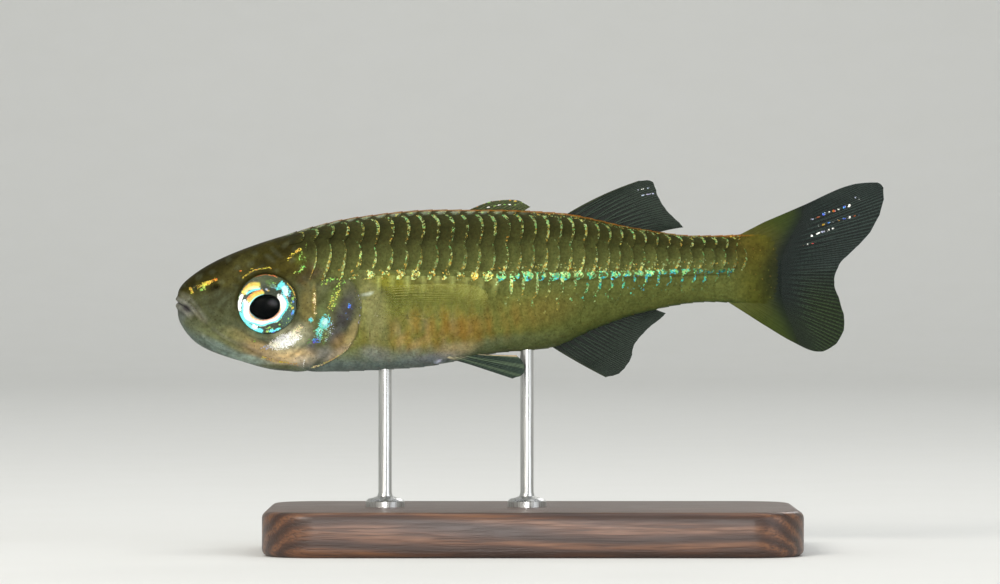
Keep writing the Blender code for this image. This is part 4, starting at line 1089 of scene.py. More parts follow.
def studio_material():
    """Pale matt studio paper, one smooth sweep."""
    material, tree, shader = new_material("matt studio paper")
    place = add_node(tree, "ShaderNodeTexCoord", output="Object")
    tooth = add_node(tree, "ShaderNodeTexNoise", {"Vector": place, "Scale": 60.0, "Detail": 3.0})
    colour = add_node(tree, "ShaderNodeMix", {0: tooth, 6: (*hex_colour("#E6E6E2"), 1.0),
                                              7: (*hex_colour("#E9E9E6"), 1.0)}, output=2, data_type="RGBA")
    set_inputs(tree, shader, Base_Color=colour, Roughness=0.9, Specular_IOR_Level=0.1)
    return material


# The skin


def skin_relief(distance, across, height):
    """How far the skin stands off the plain body, in millimetres."""
    rise = np.zeros(distance.shape)
    off, along = beside(distance, height, MOUTH_LINE)
    in_mouth = 1 - soft(along, 0.82, 1.0)
    rise += in_mouth * (0.2 * hump(np.abs(off) - 0.36, 0.25) - 0.12 * hump(off, 0.09))
    off, along = beside(distance, height, JAW_FOLD)
    rise += faded(along, 0.2, 0.2) * (0.06 * hump(off + 0.3, 0.25) - 0.1 * hump(off, 0.12))
    for line in CHIN_LINES:
        off, along = beside(distance, height, line)
        rise -= 0.05 * hump(off, 0.16) * faded(along, 0.2, 0.2)
    for x, z, radius in NOSTRILS:
        away = np.hypot(distance - x, height - z)
        rise += 0.1 * hump(away - radius - 0.08, 0.1) - 0.3 * (1 - soft(away, 0.35 * radius, radius))
    away = np.hypot(distance - EYE_PLACE[0], height - EYE_PLACE[1])
    lid = EYE_RIM_OUT + math.tan(EYE_FORWARD_TILT) * (distance - EYE_PLACE[0]) - np.abs(across)
    rise += lid * (1 - soft(away, EYE_RADIUS + 0.15, EYE_RADIUS + 1.2))
    rise += 0.13 * hump(away - EYE_RADIUS - 0.25, 0.17) - 0.05 * hump(away - EYE_RADIUS - 0.75, 0.2)
    rise -= 0.9 * (1 - soft(away, EYE_RADIUS - 0.3, EYE_RADIUS + 0.04))
    off, along = beside(distance, height, CHEEK_RIDGE)
    rise += faded(along, 0.1, 0.15) * (0.08 * hump(off - 0.05, 0.2) - 0.07 * hump(off - 0.42, 0.16))
    off, along = beside(distance, height, GILL_EDGE)
    plate = 0.16 * (1 - soft(off, -0.03, 0.07)) * np.exp(np.minimum(off, 0.0) / 1.2)
    rise += faded(along, 0.06, 0.1) * (plate - 0.12 * hump(off - 0.16, 0.16))
    return rise


def tail_bend(distance, height):
    """How far the lower lobe of the tail bends away to the fish's right."""
    below = np.clip((TAIL_FORK_HEIGHT - height) / LOWER_LOBE_HEIGHT, 0.0, 1.0)
    reach = np.maximum(distance - BODY_LENGTH, 0.0) / (TOTAL_LENGTH - BODY_LENGTH)
    return LOWER_LOBE_BEND * below * (3 - 2 * below) ** 0.5 * reach**1.5


def make_skin(context):
    """One skin over the head, gill covers, trunk and tail, in place of their nodes."""
    colours, gleams = context.scene.fish_colours, context.scene.gleam_colours
    tip = LIP_END * (np.arange(LIP_RINGS) / LIP_RINGS) ** 2
    distances = np.concatenate((tip, np.linspace(LIP_END, HEAD_END, HEAD_RINGS, endpoint=False),
                                np.linspace(HEAD_END, SKIN_END, TRUNK_RINGS + 1)))
    across, height, girth, _ = half_rings(distances, RING_POINTS // 2 + 1)
    across = np.concatenate((across, -across[:, -2::-1]), axis=1)
    height, girth = (np.concatenate((half, half[:, -2::-1]), axis=1) for half in (height, girth))
    distance = np.broadcast_to(distances[:, None], across.shape)
    points = np.stack((distance, across, height), axis=-1)
    points[0] = points[0].mean(axis=0)
    along = np.gradient(points, axis=0)
    closed = points[:, :-1]
    round_body = np.roll(closed, -1, axis=1) - np.roll(closed, 1, axis=1)
    round_body = np.concatenate((round_body, round_body[:, :1]), axis=1)
    out = np.cross(along, round_body)
    length = np.linalg.norm(out, axis=-1, keepdims=True)
    out = np.where(length > 1e-9, out / np.maximum(length, 1e-9), np.array((-1.0, 0.0, 0.0)))
    rise = skin_relief(distance, across, height) * (1 - soft(distance, 60.0, 64.0))
    points = points + out * rise[..., None]
    points[..., 1] += tail_bend(points[..., 0], points[..., 2])
    points[:, -1] = points[:, 0]
    points[0] = points[0].mean(axis=0)
    paint = skin_paint(colours, distance, height, girth)
    gleam = skin_gleam(gleams, distance, height)
    skin = shaped_grid("fish_skin", len(distances) - 1, RING_POINTS, placed(points),
                       (("paint", "FLOAT_COLOR", paint), ("gleam", "FLOAT_COLOR", gleam)))
    skin.data.uv_layers[0].name = "OFBake"
    dress(skin, skin_material(context.scene.model_sizes), "skin", "head", "lower_jaw", "gill_cover_left",
          "gill_cover_right", "trunk", "tail_base")


# The scales


# Cells of a scale along and up it, and where its columns lie along it, closest at the bright edge
PLATE_CELLS = (4, 8)
PLATE_PLACES = (0.0, 0.5, 0.7, 0.86, 1.0)


def plate_template():
    """One scale, modelled once: a thin plate with its length along X, height along Y and rim closed."""
    deselect()
    bpy.ops.mesh.primitive_grid_add(x_subdivisions=PLATE_CELLS[0], y_subdivisions=PLATE_CELLS[1], size=1.0)
    plate = bpy.context.object
    solid = plate.modifiers.new("thickness", "SOLIDIFY")
    solid.thickness = 1.0
    solid.offset = -1.0
    bpy.ops.object.modifier_apply(modifier=solid.name)
    points = np.array([tuple(v.co) for v in plate.data.vertices])
    faces = [list(face.vertices) for face in plate.data.polygons]
    bpy.data.objects.remove(plate)
    return points, faces


def scale_places(row):
    """The rear edge of each scale of a row, with the row's middle, half height and front end there."""
    steps = np.arange(8.0, SCALES_END + 4.0, 0.05)
    columns = np.cumsum(0.05 / scale_pitch(steps))
    columns -= np.interp(FIRST_EDGE, steps, columns)
    found = []
    for column in range(int(columns[0]), int(columns[-1])):
        rear = float(np.interp(column + row.shift, columns, steps))
        middle = float(np.interp(rear, ROW_STATIONS, row.middles))
        half = float(np.interp(rear, ROW_STATIONS, row.halves)) * ROW_OVERLAP
        height = on_body(np.array([rear]), np.array([middle]), 1)[0, 2]
        start = float(np.interp(height, *zip(*SCALES_START)))
        if start + 0.5 * scale_pitch(rear) < rear < row.last:
            found.append((rear, middle, half, start))
    return found


def ridge_parts(rear, pitch, distance, girth):
    """On a scale of the ridge: its painted copper rim highlight along the very ridge, and the pale patch on
    each side.
    """
    level = 1 - np.abs(1 - girth)
    rim = soft(level, 0.9, 0.94)
    patch = (1 - rim) * soft(level, 0.82, 0.87) * (1 - soft(distance, 33.0, 42.0))
    return rim, patch * (1 - soft(np.abs(distance - rear + 0.5 * pitch), 0.28 * pitch, 0.45 * pitch))


def lining_of(name, row, rear, distance, girth, above, b, draw):
    """The bright crystals of one scale's points: share on the edge, share of loose flecks, hue, light."""
    share = np.interp(b, (-1.0, -0.6, 0.0, 0.6, 0.92), row.lining) * draw.uniform(0.85, 1.15)
    light = row.light * draw.uniform(0.7, 1.2) * np.ones(b.shape)
    pitch = float(scale_pitch(rear))
    loose = 0.2 * soft(above, 0.3, 0.5) * (1 - soft(above, 1.0, 1.7)) * soft(distance, 30.0, 44.0)
    loose = loose * (1 - 0.5 * soft(distance, 57.0, 62.0)) + 0.006
    below = soft(-above, 0.5, 1.0) * (1 - soft(-above, 2.5, 4.0)) * soft(distance, 33.0, 37.0)
    loose = np.maximum(loose, 0.03 * below)
    hue = 0.36 + 0.1 * b
    # On the ridge, copper crystals along the painted rim highlight, and paler, brighter ones on the pale
    # patches
    if name == "ridge":
        rim, patch = ridge_parts(rear, pitch, distance, girth)
        loose = np.maximum(loose, np.maximum(0.25 * rim, 0.3 * patch))
        loose = np.maximum(loose, 0.35 * soft(girth, 0.78, 0.84) * (girth < 1) * soft(distance, 36.0, 42.0))
        hue = 0.33 - 0.25 * rim + 0.08 * patch
        light = light * (1.3 + 0.4 * patch)
    if name == "middle":
        hue = 0.36 + 0.08 * b
        light = light * (1.05 - 0.3 * b) * (1 - 0.2 * soft(distance, 48.0, 54.0))
    if name == "stripe":
        bright = soft(rear, 35.0, 37.0)
        hue = 0.3 + bright * (0.24 + 0.06 * soft(distance, 44, 52) + 0.22 * (1 - soft(above, -0.4, 0.1)))
        light = light * (1.0 - 0.55 * float(soft(rear, 55.0, 61.0)))
        share = share * (0.45 + 0.3 * float(soft(rear, 23.0, 26.0)) + 0.25 * float(bright))
        share = share * (1 - 0.4 * float(soft(rear, 60.0, 63.0)))
    if name in ("below", "low 1"):
        hue = 0.38 + 0.3 * soft(distance, 42.0, 50.0) + 0.08 * b
        share = share * soft(rear, 35.5, 37.5) * (1 - 0.5 * float(soft(rear, 58.0, 61.0)))
        light = light + 0.15 * soft(distance, 46.0, 50.0) * (1 - soft(distance, 56.0, 60.0))
    if name == "low 1":
        share = share * (1 - float(soft(rear, 50.0, 56.0)))
    return np.stack(np.broadcast_arrays(share, loose, np.clip(hue, 0, 1), light), axis=-1)


def plate_paint(colours, name, row, rear, places, above, a, b, middle, draw):
    """The pigment under one scale, from the skin's own colours at (distance, height, girth) places."""
    distance, height, girth = places
    paint = skin_paint(colours, distance, height, np.clip(girth, -1, 1))
    plain = 0.0 if row.lining[2] else 1.0
    # Above the stripe a scale is painted darker in front of its bright edge: painted shade where the scale
    # ahead overlaps it
    shade = (1 - plain) * (1 - soft(a, 0.5, 0.84)) * (middle > 0.1)
    light = draw.uniform(0.9, 1.1) * (1 - 0.32 * shade)
    light = light + (1 - light) * 0.7 * plain
    # The dark line under the stripe
    light = light * (1 - 0.5 * hump(above + 0.42, 0.12) * soft(distance, 35.0, 38.0))
    paint = paint * np.asarray(light)[..., None]
    if name == "below":
        streak = hump(a - 0.86, 0.1) * (1 - soft(distance, 36.0, 38.0))
        streak = streak * soft(b, *(draw.uniform(-0.9, 0.1) + np.array((-0.4, 0.6))))
        paint = laid(paint, colours.streak, draw.uniform(0.25, 0.6) * streak)
    if name == "ridge":
        _, patch = ridge_parts(rear, float(scale_pitch(rear)), distance, girth)
        # The very ridge is darker again between its two painted copper rim highlights
        paint = laid(paint, colours.back, 0.55 * soft(1 - np.abs(1 - girth), 0.965, 0.99))
        paint = laid(paint, colours.ridge_patch, 0.6 * patch)
    return paint


def lining_start(name, row, rear, b):
    """Where the bright lining starts along a scale, earlier where the line is thick."""
    if name == "stripe" and rear < 35.5:
        return 0.72
    if name == "upper":
        return row.start - 0.05 * soft(b, 0.3, 0.8)
    if name == "middle":
        return row.start - (0.08 * soft(-b, -0.3, 0.5) - 0.03)
    return row.start


def make_scales(context, side):
    """The scales of one side, fitted to the body in rows and joined. The left piece has the ridge rows."""
    sizes, colours = context.scene.model_sizes, context.scene.fish_colours
    template, faces = plate_template()
    draw = np.random.default_rng(sizes.random_seed + side)
    # Places along a scale from 0 to 1, up it from -1 to 1, and through it
    a = np.interp(template[:, 0] + 0.5, np.linspace(0, 1, len(PLATE_PLACES)), PLATE_PLACES)
    b, c = template[:, 1] * 2, template[:, 2]
    corners = np.concatenate(faces)
    points, paints, linings, starts, plates, bakes = [], [], [], [], [], []
    at_stripe = SURFACE[:, len(TABLE_GIRTHS) // 2, 2]
    arcs = at_stripe, SURFACE[:, 0, 2] - at_stripe
    stations = np.arange(len(SURFACE)) * TABLE_STEP
    for name, row in ROWS.items():
        if name in ("ridge", "belly") and side > 0:
            continue
        for rear, middle, half, start in scale_places(row):
            pitch = float(scale_pitch(rear))
            length = sizes.scale_overlap * pitch
            back_edge = rear + draw.normal(0, 0.03) * pitch
            front = max(back_edge - length, start - 0.3)
            bottom = 0.2 if name == "below" and rear < 36.0 else row.bottom
            drawn_in = row.top * np.maximum(b, 0) ** 2.6 + bottom * np.maximum(-b, 0) ** 2.0
            edge = np.maximum(back_edge - pitch * drawn_in, front + 0.2)
            distance = front + (edge - front) * a
            girth = middle + b * half * draw.uniform(0.97, 1.03)
            # Scales without a bright edge lie flatter, and the upper row lies over its neighbours
            rise = sizes.scale_rise * draw.uniform(0.85, 1.15) * (1.0 if row.lining[2] > 0.2 else 0.35)
            rise = rise + 0.00003 * (name == "upper") + sizes.scale_root
            lift = rise * (distance - back_edge + length) / length - sizes.scale_root
            lift = lift + 0.00002 * (1 - b**2) + c * sizes.scale_thickness
            on = on_body(distance, girth, side)
            out = out_of_body(distance, girth, side)
            points.append(on + out * (lift / MM)[:, None])
            arc_up, arc_down = (float(np.interp(rear, stations, arc)) for arc in arcs)
            above = np.where(girth > 0, girth * arc_up, girth * arc_down)
            places = distance, on[:, 2], girth
            paints.append(plate_paint(colours, name, row, rear, places, above, a, b, middle, draw))
            linings.append(lining_of(name, row, rear, distance, girth, above, b, draw))
            starts.append(lining_start(name, row, rear, b) - 0.03 * draw.random() + np.zeros(len(a)))
            plates.append(np.stack((a, b / 2 + 0.5), axis=-1)[corners])
            cell = np.stack(((rear - 0.9 * pitch * (1 - a)) / SKIN_END,
                             0.5 + 0.5 * (middle + b * 0.85 * half / ROW_OVERLAP)), axis=-1)
            bakes.append(np.clip(cell, 0.0, 1.0)[corners])
    all_faces = [[v + k * len(a) for v in face] for k in range(len(points)) for face in faces]
    mesh = bpy.data.meshes.new(f"scales_{SIDES[side]}")
    mesh.from_pydata(placed(np.concatenate(points)).tolist(), [], all_faces)
    for name, kind, values in (("paint", "FLOAT_COLOR", paints), ("lining", "FLOAT_COLOR", linings),
                               ("start", "FLOAT", starts)):
        set_attribute(mesh, name, kind, np.concatenate(values))
    for name, values in (("OFBake", bakes), ("plate", plates)):
        layer = mesh.uv_layers.new(name=name)
        layer.data.foreach_set("uv", np.concatenate(values).astype(np.float32).ravel())
    mesh.shade_smooth()
    mesh.set_sharp_from_angle(angle=math.radians(50))
    obj = bpy.data.objects.new(mesh.name, mesh)
    bpy.context.scene.collection.objects.link(obj)
    only(obj)
    bpy.ops.object.mode_set(mode="EDIT")
    bpy.ops.mesh.select_all(action="SELECT")
    bpy.ops.mesh.normals_make_consistent(inside=False)
    bpy.ops.object.mode_set(mode="OBJECT")
    return obj


# The eyes

EYE_RINGS, EYE_SPOKES = 84, 160
LENS_RINGS, LENS_SPOKES = 24, 96
# Place of the pupil from the eye's centre, half its length and height, and its tilt
PUPIL_OFFSET = (-0.27, -0.35)
PUPIL_HALVES = (1.78, 1.42)
PUPIL_TURN = math.radians(16)
# Pigment of the iris under its crystals
IRIS_GROUND, IRIS_TOP, IRIS_FRONT, IRIS_REAR = "#26301E", "#3C4420", "#5C9C98", "#3C5A50"
# Bright marks and lines of the iris, in mm from its centre, as in the tables of the head
IRIS_MARKS = (
    (-1.39, -2.57, 0.3, 0.25, 0, "silver", 1.2),
    (-1.74, -1.55, 0.25, 0.25, 0, "gold", 1.2),
    (-1.35, -1.87, 0.22, 0.2, 0, "orange", 1.2),
    (-2.2, -1.85, 0.35, 0.4, 40, "green", 0.6),
    (0.02, -3.08, 0.14, 0.1, 0, "green", 1.2),
    (0.5, -3.0, 0.25, 0.16, 10, "cyan", 1.3),
    (1.15, -2.85, 0.35, 0.12, 25, "cyan", 1.2),
    (0.65, -3.16, 0.2, 0.06, 10, "blue", 1.2),
    (0.2, -2.7, 0.45, 0.2, 5, "green", 0.5),
    (2.9, 0.6, 0.14, 0.2, 0, "green", 1.2),
    (2.94, 0.25, 0.12, 0.12, 0, "blue", 1.2),
    (2.6, -0.2, 0.2, 0.12, 0, "green", 1.1),
    (2.87, -0.45, 0.14, 0.12, 0, "gold", 1.1),
    (2.88, -0.95, 0.12, 0.25, -25, "blue", 1.2),
    (2.95, -0.8, 0.1, 0.15, -25, "cyan", 1.2),
    (2.4, -1.65, 0.12, 0.1, 0, "green", 1.0),
    (1.4, -2.3, 0.1, 0.08, 0, "green", 1.0),
    (2.5, 1.2, 0.16, 0.3, -20, "cyan", 1.0),
    (2.55, 0.95, 0.12, 0.16, 0, "blue", 0.8),
    (1.15, 1.7, 0.18, 0.16, 0, "cyan", 1.1),
    (0.5, 2.15, 0.5, 0.4, 0, "green", 0.42),
    (0.6, 1.95, 0.3, 0.3, 0, "blue", 0.2),
    (-0.1, 1.6, 0.14, 0.14, 0, "lavender", 0.9),
    (0.1, 1.5, 0.12, 0.1, 0, "gold", 0.9),
    (2.5, 0.3, 0.5, 1.2, 0, "green", 0.18),
    (2.3, -1.9, 0.6, 0.6, 0, "green", 0.1),
    (0.0, 2.7, 1.2, 0.4, 0, "green", 0.12),
)
IRIS_LINES = (
    (((-3.1, -0.9), (-3.15, -0.1), (-3.0, 0.6), (-2.75, 1.15)), 0.17, "silver", 1.15),
    (((-3.2, -0.8), (-2.75, -1.75), (-1.95, -2.6), (-1.2, -2.95), (-0.3, -3.05)), 0.26, "cyan", 1.2),
    (((-2.8, 1.0), (-2.3, 1.72), (-1.6, 2.15), (-0.6, 2.1)), 0.26, "gold", 1.15),
    (((-2.6, 1.15), (-2.2, 1.6), (-1.5, 1.85), (-0.8, 1.85)), 0.14, "cream", 1.2),
    (((-2.45, 1.05), (-1.8, 1.45), (-1.2, 1.62), (-0.7, 1.75)), 0.1, "cyan", 1.1),
    (((-2.3, 0.1), (-1.55, 0.88), (-0.9, 1.22), (-0.3, 1.38)), 0.2, "gold", 1.3),
    (((-2.35, 0.45), (-1.7, 1.08), (-1.0, 1.42), (-0.4, 1.58)), 0.09, "orange", 1.2),
    (((-2.0, -0.15), (-1.5, 0.58), (-0.95, 0.9), (-0.3, 1.1)), 0.07, "cyan", 1.2),
    (((-2.5, 0.6), (-2.6, -0.2), (-2.5, -0.9)), 0.2, "silver", 1.2),
    (((1.3, 2.45), (1.75, 1.98), (2.1, 1.5), (1.95, 0.95)), 0.36, "cyan", 1.15),
    (((1.75, 2.0), (2.1, 1.5), (2.0, 0.85)), 0.24, "silver", 1.4),
    (((-1.7, 2.95), (-0.3, 3.3), (1.3, 3.0)), 0.06, "orange", 0.8),
    (((-2.7, 2.0), (-3.1, 1.2), (-3.3, 0.3)), 0.06, "green", 0.7),
    (((2.1, 2.55), (2.9, 1.5), (3.25, 0.6)), 0.06, "gold", 0.9),
    (((2.2, 0.9), (2.28, 0.2), (2.2, -0.5)), 0.12, "orange", 0.7),
)


def white_ring(pupil, turn):
    """The bare white ring round the pupil, all round but for the top, broadest in front and below, and its
    blue-green outer rim."""
    shown = 1 - soft(np.cos(turn - math.radians(95)), 0.35, 0.7)
    shown = shown * (1 - 0.85 * soft(np.cos(turn - math.radians(135)), 0.75, 0.97))
    outer = 1.42 - 0.1 * soft(np.cos(turn - math.radians(300)), 0.0, 1.0) + 0.04 * np.sin(turn * 7 + 1)
    ring = 1.5 * soft(pupil, 0.98, 1.04) * (1 - soft(pupil, outer - 0.08, outer + 0.08)) * shown
    rim = 1.2 * hump(pupil - outer - 0.04, 0.08) * shown
    return ring, rim


def eye_frame(side):
    """Centre of an eye's rim, and the directions along, up and out of it."""
    centre = placed((EYE_PLACE[0], side * EYE_RIM_OUT, EYE_PLACE[1]))
    cosine, sine = math.cos(EYE_FORWARD_TILT), math.sin(EYE_FORWARD_TILT)
    return centre, np.array((cosine, side * sine, 0.0)), np.array((-sine, side * cosine, 0.0))


def eye_points(side, x, z, depth):
    """Points of an eye in metres, from places in its side view and a depth out of its rim, in mm."""
    centre, along, out = eye_frame(side)
    up = np.array((0.0, 0.0, 1.0))
    return centre + (x[..., None] * along + z[..., None] * up + depth[..., None] * out) * MM


def make_eyes(context):
    """Two eyes: an iris foil that dips towards the pupil, a bulging lens, and a clear dome over them."""
    sizes, gleams = context.scene.model_sizes, context.scene.gleam_colours
    iris_foil, black, clear = iris_material(sizes), lens_material(), cornea_material()
    share = np.linspace(0, 1, EYE_RINGS + 1)[:, None]
    turn = np.linspace(0, 2 * math.pi, EYE_SPOKES + 1)[None, :]
    radius = share * EYE_RADIUS * np.ones_like(turn)
    x, z = radius * np.cos(turn), radius * np.sin(turn)
    depth = -0.1 - 0.24 * (1 - share) - 0.25 * soft(share, 0.97, 1.0) + 0.0 * turn
    to_x, to_z = x - PUPIL_OFFSET[0], z - PUPIL_OFFSET[1]
    long = (to_x * math.cos(PUPIL_TURN) + to_z * math.sin(PUPIL_TURN)) / PUPIL_HALVES[0]
    short = (to_z * math.cos(PUPIL_TURN) - to_x * math.sin(PUPIL_TURN)) / PUPIL_HALVES[1]
    pupil = np.hypot(long, short)
    gleam = marked(gleams, x, z, IRIS_MARKS, IRIS_LINES)
    ring, rim = white_ring(pupil, np.arctan2(to_z, to_x))
    over = np.clip(2 * ring / np.maximum(gleam[..., 3] + ring, 1e-6) - 0.6, 0, 1)
    white = laid(laid(gleam[..., :3], gleams.silver, over), gleams.cyan, np.clip(rim, 0, 1))
    lower_rim = hump(pupil - 1.04, 0.07) * soft(-np.sin(turn), 0.0, 0.5)
    white = laid(white, gleams.orange, 0.9 * lower_rim)
    gleam = np.concatenate((white, np.maximum(np.maximum(gleam[..., 3], ring), rim)[..., None]), axis=-1)
    paint = one_colour(radius.shape, hex_colour(IRIS_GROUND))
    paint = laid(paint, hex_colour(IRIS_TOP), 0.8 * soft(z, 1.6, 2.8))
    paint = laid(paint, hex_colour(IRIS_FRONT), 0.75 * spot(x, z, (-2.3, -1.7), (1.1, 1.3), 45, 0.5))
    paint = laid(paint, hex_colour(IRIS_REAR), 0.7 * spot(x, z, (2.3, -1.0), (0.9, 1.6), 0, 0.5))
    lens_share = np.linspace(0, 1, LENS_RINGS + 1)[:, None]
    lens_turn = np.linspace(0, 2 * math.pi, LENS_SPOKES + 1)[None, :]
    # The pupil is blunt at its lower front
    blunt = 1 - 0.07 * soft(np.cos(lens_turn - math.radians(222)), 0.75, 1.0)
    along = lens_share * blunt * PUPIL_HALVES[0] * np.cos(lens_turn)
    up = lens_share * blunt * PUPIL_HALVES[1] * np.sin(lens_turn)
    lens_x = along * math.cos(PUPIL_TURN) - up * math.sin(PUPIL_TURN) + PUPIL_OFFSET[0]
    lens_z = up * math.cos(PUPIL_TURN) + along * math.sin(PUPIL_TURN) + PUPIL_OFFSET[1]
    lens_depth = -0.33 + 0.62 * np.sqrt(np.clip(1 - lens_share**2, 0, 1)) + 0.0 * lens_turn
    ball = (EYE_RADIUS**2 + EYE_DOME**2) / (2 * EYE_DOME)
    reach = lens_share * (EYE_RADIUS + 0.02) * np.ones_like(lens_turn)
    dome = np.sqrt(ball**2 - reach**2) - (ball - EYE_DOME)
    for side, word in SIDES.items():
        iris = shaped_grid(f"iris_{word}", EYE_RINGS, EYE_SPOKES, eye_points(side, x, z, depth), (
            ("paint", "FLOAT_COLOR", paint), ("gleam", "FLOAT_COLOR", gleam)))
        lens = shaped_grid(f"lens_{word}", LENS_RINGS, LENS_SPOKES,
                           eye_points(side, lens_x, lens_z, lens_depth))
        cornea = shaped_grid(f"cornea_{word}", LENS_RINGS, LENS_SPOKES,
                             eye_points(side, reach * np.cos(lens_turn), reach * np.sin(lens_turn), dome))
        for piece in (iris, lens, cornea):
            face_out(piece, side)
        dress(iris, iris_foil, "eye", f"eye_{word}")
        dress(lens, black, "eye")
        dress(cornea, clear, "eye")


def face_out(obj, side):
    """Turns an open piece's faces to its own side of the fish."""
    normal = sum((face.normal * face.area for face in obj.data.polygons), Vector())
    if normal.y * side < 0:
        flip(obj)


# The fins

COLUMNS_PER_RAY = 20
TWICE_FORKED_SPACING = 0.7
# Line of the tail's crescent: height, then distance
CRESCENT = ((-6.5, 69.4), (-2.2, 67.7), (1.2, 67.1), (4.2, 68.0), (7.8, 69.8))
# Dotted bright lines on the fins: their points, half width and colours in turn. The dots' spacing in mm
FIN_FLECKS = (
    (((71.4, 5.5), (72.8, 6.0), (74.4, 6.5)), 0.09, ("silver", "lavender", "silver")),
    (((72.9, 8.0), (74.6, 8.55), (76.2, 9.1)), 0.11, ("silver", "blue", "silver", "orange")),
    (((72.4, 6.7), (74.6, 7.3), (76.9, 7.95)), 0.09, ("silver", "orange", "blue")),
    (((70.7, 4.5), (71.8, 4.7)), 0.07, ("silver", "orange")),
    (((76.6, 9.9), (77.4, 9.5)), 0.08, ("silver", "lavender")),
    (((71.6, 7.4), (72.4, 7.7)), 0.06, ("orange", "lavender")),
    (((33.6, 8.75), (34.6, 9.25), (36.4, 9.55), (37.6, 9.55), (39.0, 9.2)), 0.08,
     ("gold", "green", "orange")),
    (((34.8, 8.7), (36.6, 9.05), (38.4, 9.0)), 0.05, ("silver", "green")),
    (((52.0, 10.75), (53.4, 11.0)), 0.06, ("lavender", "silver")),
    (((52.4, 10.1), (53.9, 10.35)), 0.06, ("lavender",)),
)
DOT_SPACING = 0.6


def fin_flecks(gleams, distance, height):
    """Colour and share of the bright dots on a fin."""
    colour = np.ones((*distance.shape, 3))
    share = np.zeros(distance.shape)
    dot = np.floor(distance / DOT_SPACING)
    lit = soft(np.sin((distance / DOT_SPACING - dot) * math.pi), 0.45, 0.9)
    lit = lit * (0.75 + 0.25 * np.sin(dot * 5.0))
    for points, half, names in FIN_FLECKS:
        off, _ = beside(distance, height, points)
        here = on_line(off, half) * lit
        for k, name in enumerate(names):
            colour = laid(colour, getattr(gleams, name), (here > 0) & (dot % len(names) == k))
        share = np.maximum(share, here)
    return np.concatenate((colour, share[..., None]), axis=-1)


def ray_ridges(ray, along, spacing):
    """1 on a ray and 0 on the web. Each ray forks, and where the rays stand wide apart, in mm at the tips,
    its two branches fork again."""
    off = ray - np.round(ray)
    forks_twice = spacing > TWICE_FORKED_SPACING
    first = 0.25 * soft(along, 0.02, 0.5)
    second = forks_twice * 0.125 * soft(along, 0.3, 0.85)
    width = 0.11 - (0.055 if forks_twice else 0.03) * soft(along, 0.05, 0.7)
    ridges = np.zeros(np.broadcast(ray, along).shape)
    for outer in (-1, 1):
        for inner in (-1, 1):
            ridges = np.maximum(ridges, hump(off - outer * first - inner * second, width))
    return ridges


def make_fin(context, material, name, roots, tips, rays, rows, bow=0.0, lay=None, painted=None, stout=1.0):
    """A fin of forked rays with a thin web between them, laid as in the solids."""
    sizes = context.scene.model_sizes
    draw = np.random.default_rng(sizes.random_seed + rays)
    columns = (rays - 1) * COLUMNS_PER_RAY
    starts, ends = curve_through(roots, columns + 1), curve_through(tips, columns + 1)
    run = ends - starts
    knees = starts + run * 0.5 + np.stack((-run[:, 2], 0 * run[:, 0], run[:, 0]), axis=-1) * bow
    ray = np.linspace(0, rays - 1, columns + 1)[:, None]
    along = np.linspace(0, 1, rows + 1)[None, :]
    ragged = np.interp(ray[:, 0], np.arange(rays), 1 - 0.008 * draw.random(rays))
    web = np.abs(np.sin(math.pi * ray[:, 0])) ** 0.7
    reach = (along * (ragged - 0.006 * web)[:, None])[..., None]
    points = (starts[:, None] * (1 - reach) ** 2 + knees[:, None] * 2 * reach * (1 - reach)
              + ends[:, None] * reach**2)
    if lay:
        points[..., 1] = lay(points, np.broadcast_to(along, points.shape[:2]))
    spacing = np.linalg.norm(np.diff(ends, axis=0), axis=1).sum() / (rays - 1)
    ridges = ray_ridges(ray, along, spacing)
    paint, gleam, flesh, shown = painted(context, points, ridges)
    # Flesh fills the web up between the rays
    relief = ridges * (1 - 0.75 * flesh) + 0.4 * flesh
    thick = sizes.web + (sizes.ray_root + (sizes.ray_tip - sizes.ray_root) * along**0.6 - sizes.web) * relief
    thick = thick * stout
    thickest = float(thick.max())
    length = np.linalg.norm(run, axis=-1)[:, None] * along
    fin = shaped_grid(name, columns, rows, placed(points), (
        ("paint", "FLOAT_COLOR", paint), ("gleam", "FLOAT_COLOR", gleam), ("ray", "FLOAT", ridges * shown),
        ("flesh", "FLOAT", flesh), ("run", "FLOAT", length), ("thick", "FLOAT", thick / thickest),
    ), merge=False)
    group = fin.vertex_groups.new(name="thickness")
    values = np.empty(len(fin.data.vertices), np.float32)
    fin.data.attributes["thick"].data.foreach_get("value", values)
    for index, value in enumerate(values):
        group.add([index], float(value), "REPLACE")
    solid = fin.modifiers.new("thickness", "SOLIDIFY")
    solid.thickness = thickest
    solid.offset = 0.0
    solid.vertex_group = group.name
    only(fin)
    bpy.ops.object.modifier_apply(modifier=solid.name)
    fin.vertex_groups.clear()
    fin.data.shade_smooth()
    fin.data.set_sharp_from_angle(angle=math.radians(60))
    dress(fin, material, "fin_membrane", name.replace("fine_", ""))


def first_ray(points, last_column):
    """1 on the first columns of a fin and 0 from that column on."""
    return (1 - soft(np.arange(points.shape[0]), 2, last_column))[:, None] * np.ones(points.shape[1])


def plain_fin(name, rim=0.0, flesh=0.0):
    """Paint of a fin in one of the fin colours, with the rim of its first ray in the edge colour. It gives
    each point's colour, its bright dots, how fleshy it is, and how far the rays show."""

    def painted(context, points, ridges):
        fins = context.scene.fin_colours
        paint = one_colour(points.shape[:2], getattr(fins, name))
        paint = laid(paint, fins.edge, rim * first_ray(points, 9))
        gleam = fin_flecks(context.scene.gleam_colours, points[..., 0], points[..., 2])
        return paint, gleam, np.full(points.shape[:2], flesh), 1.0

    return painted


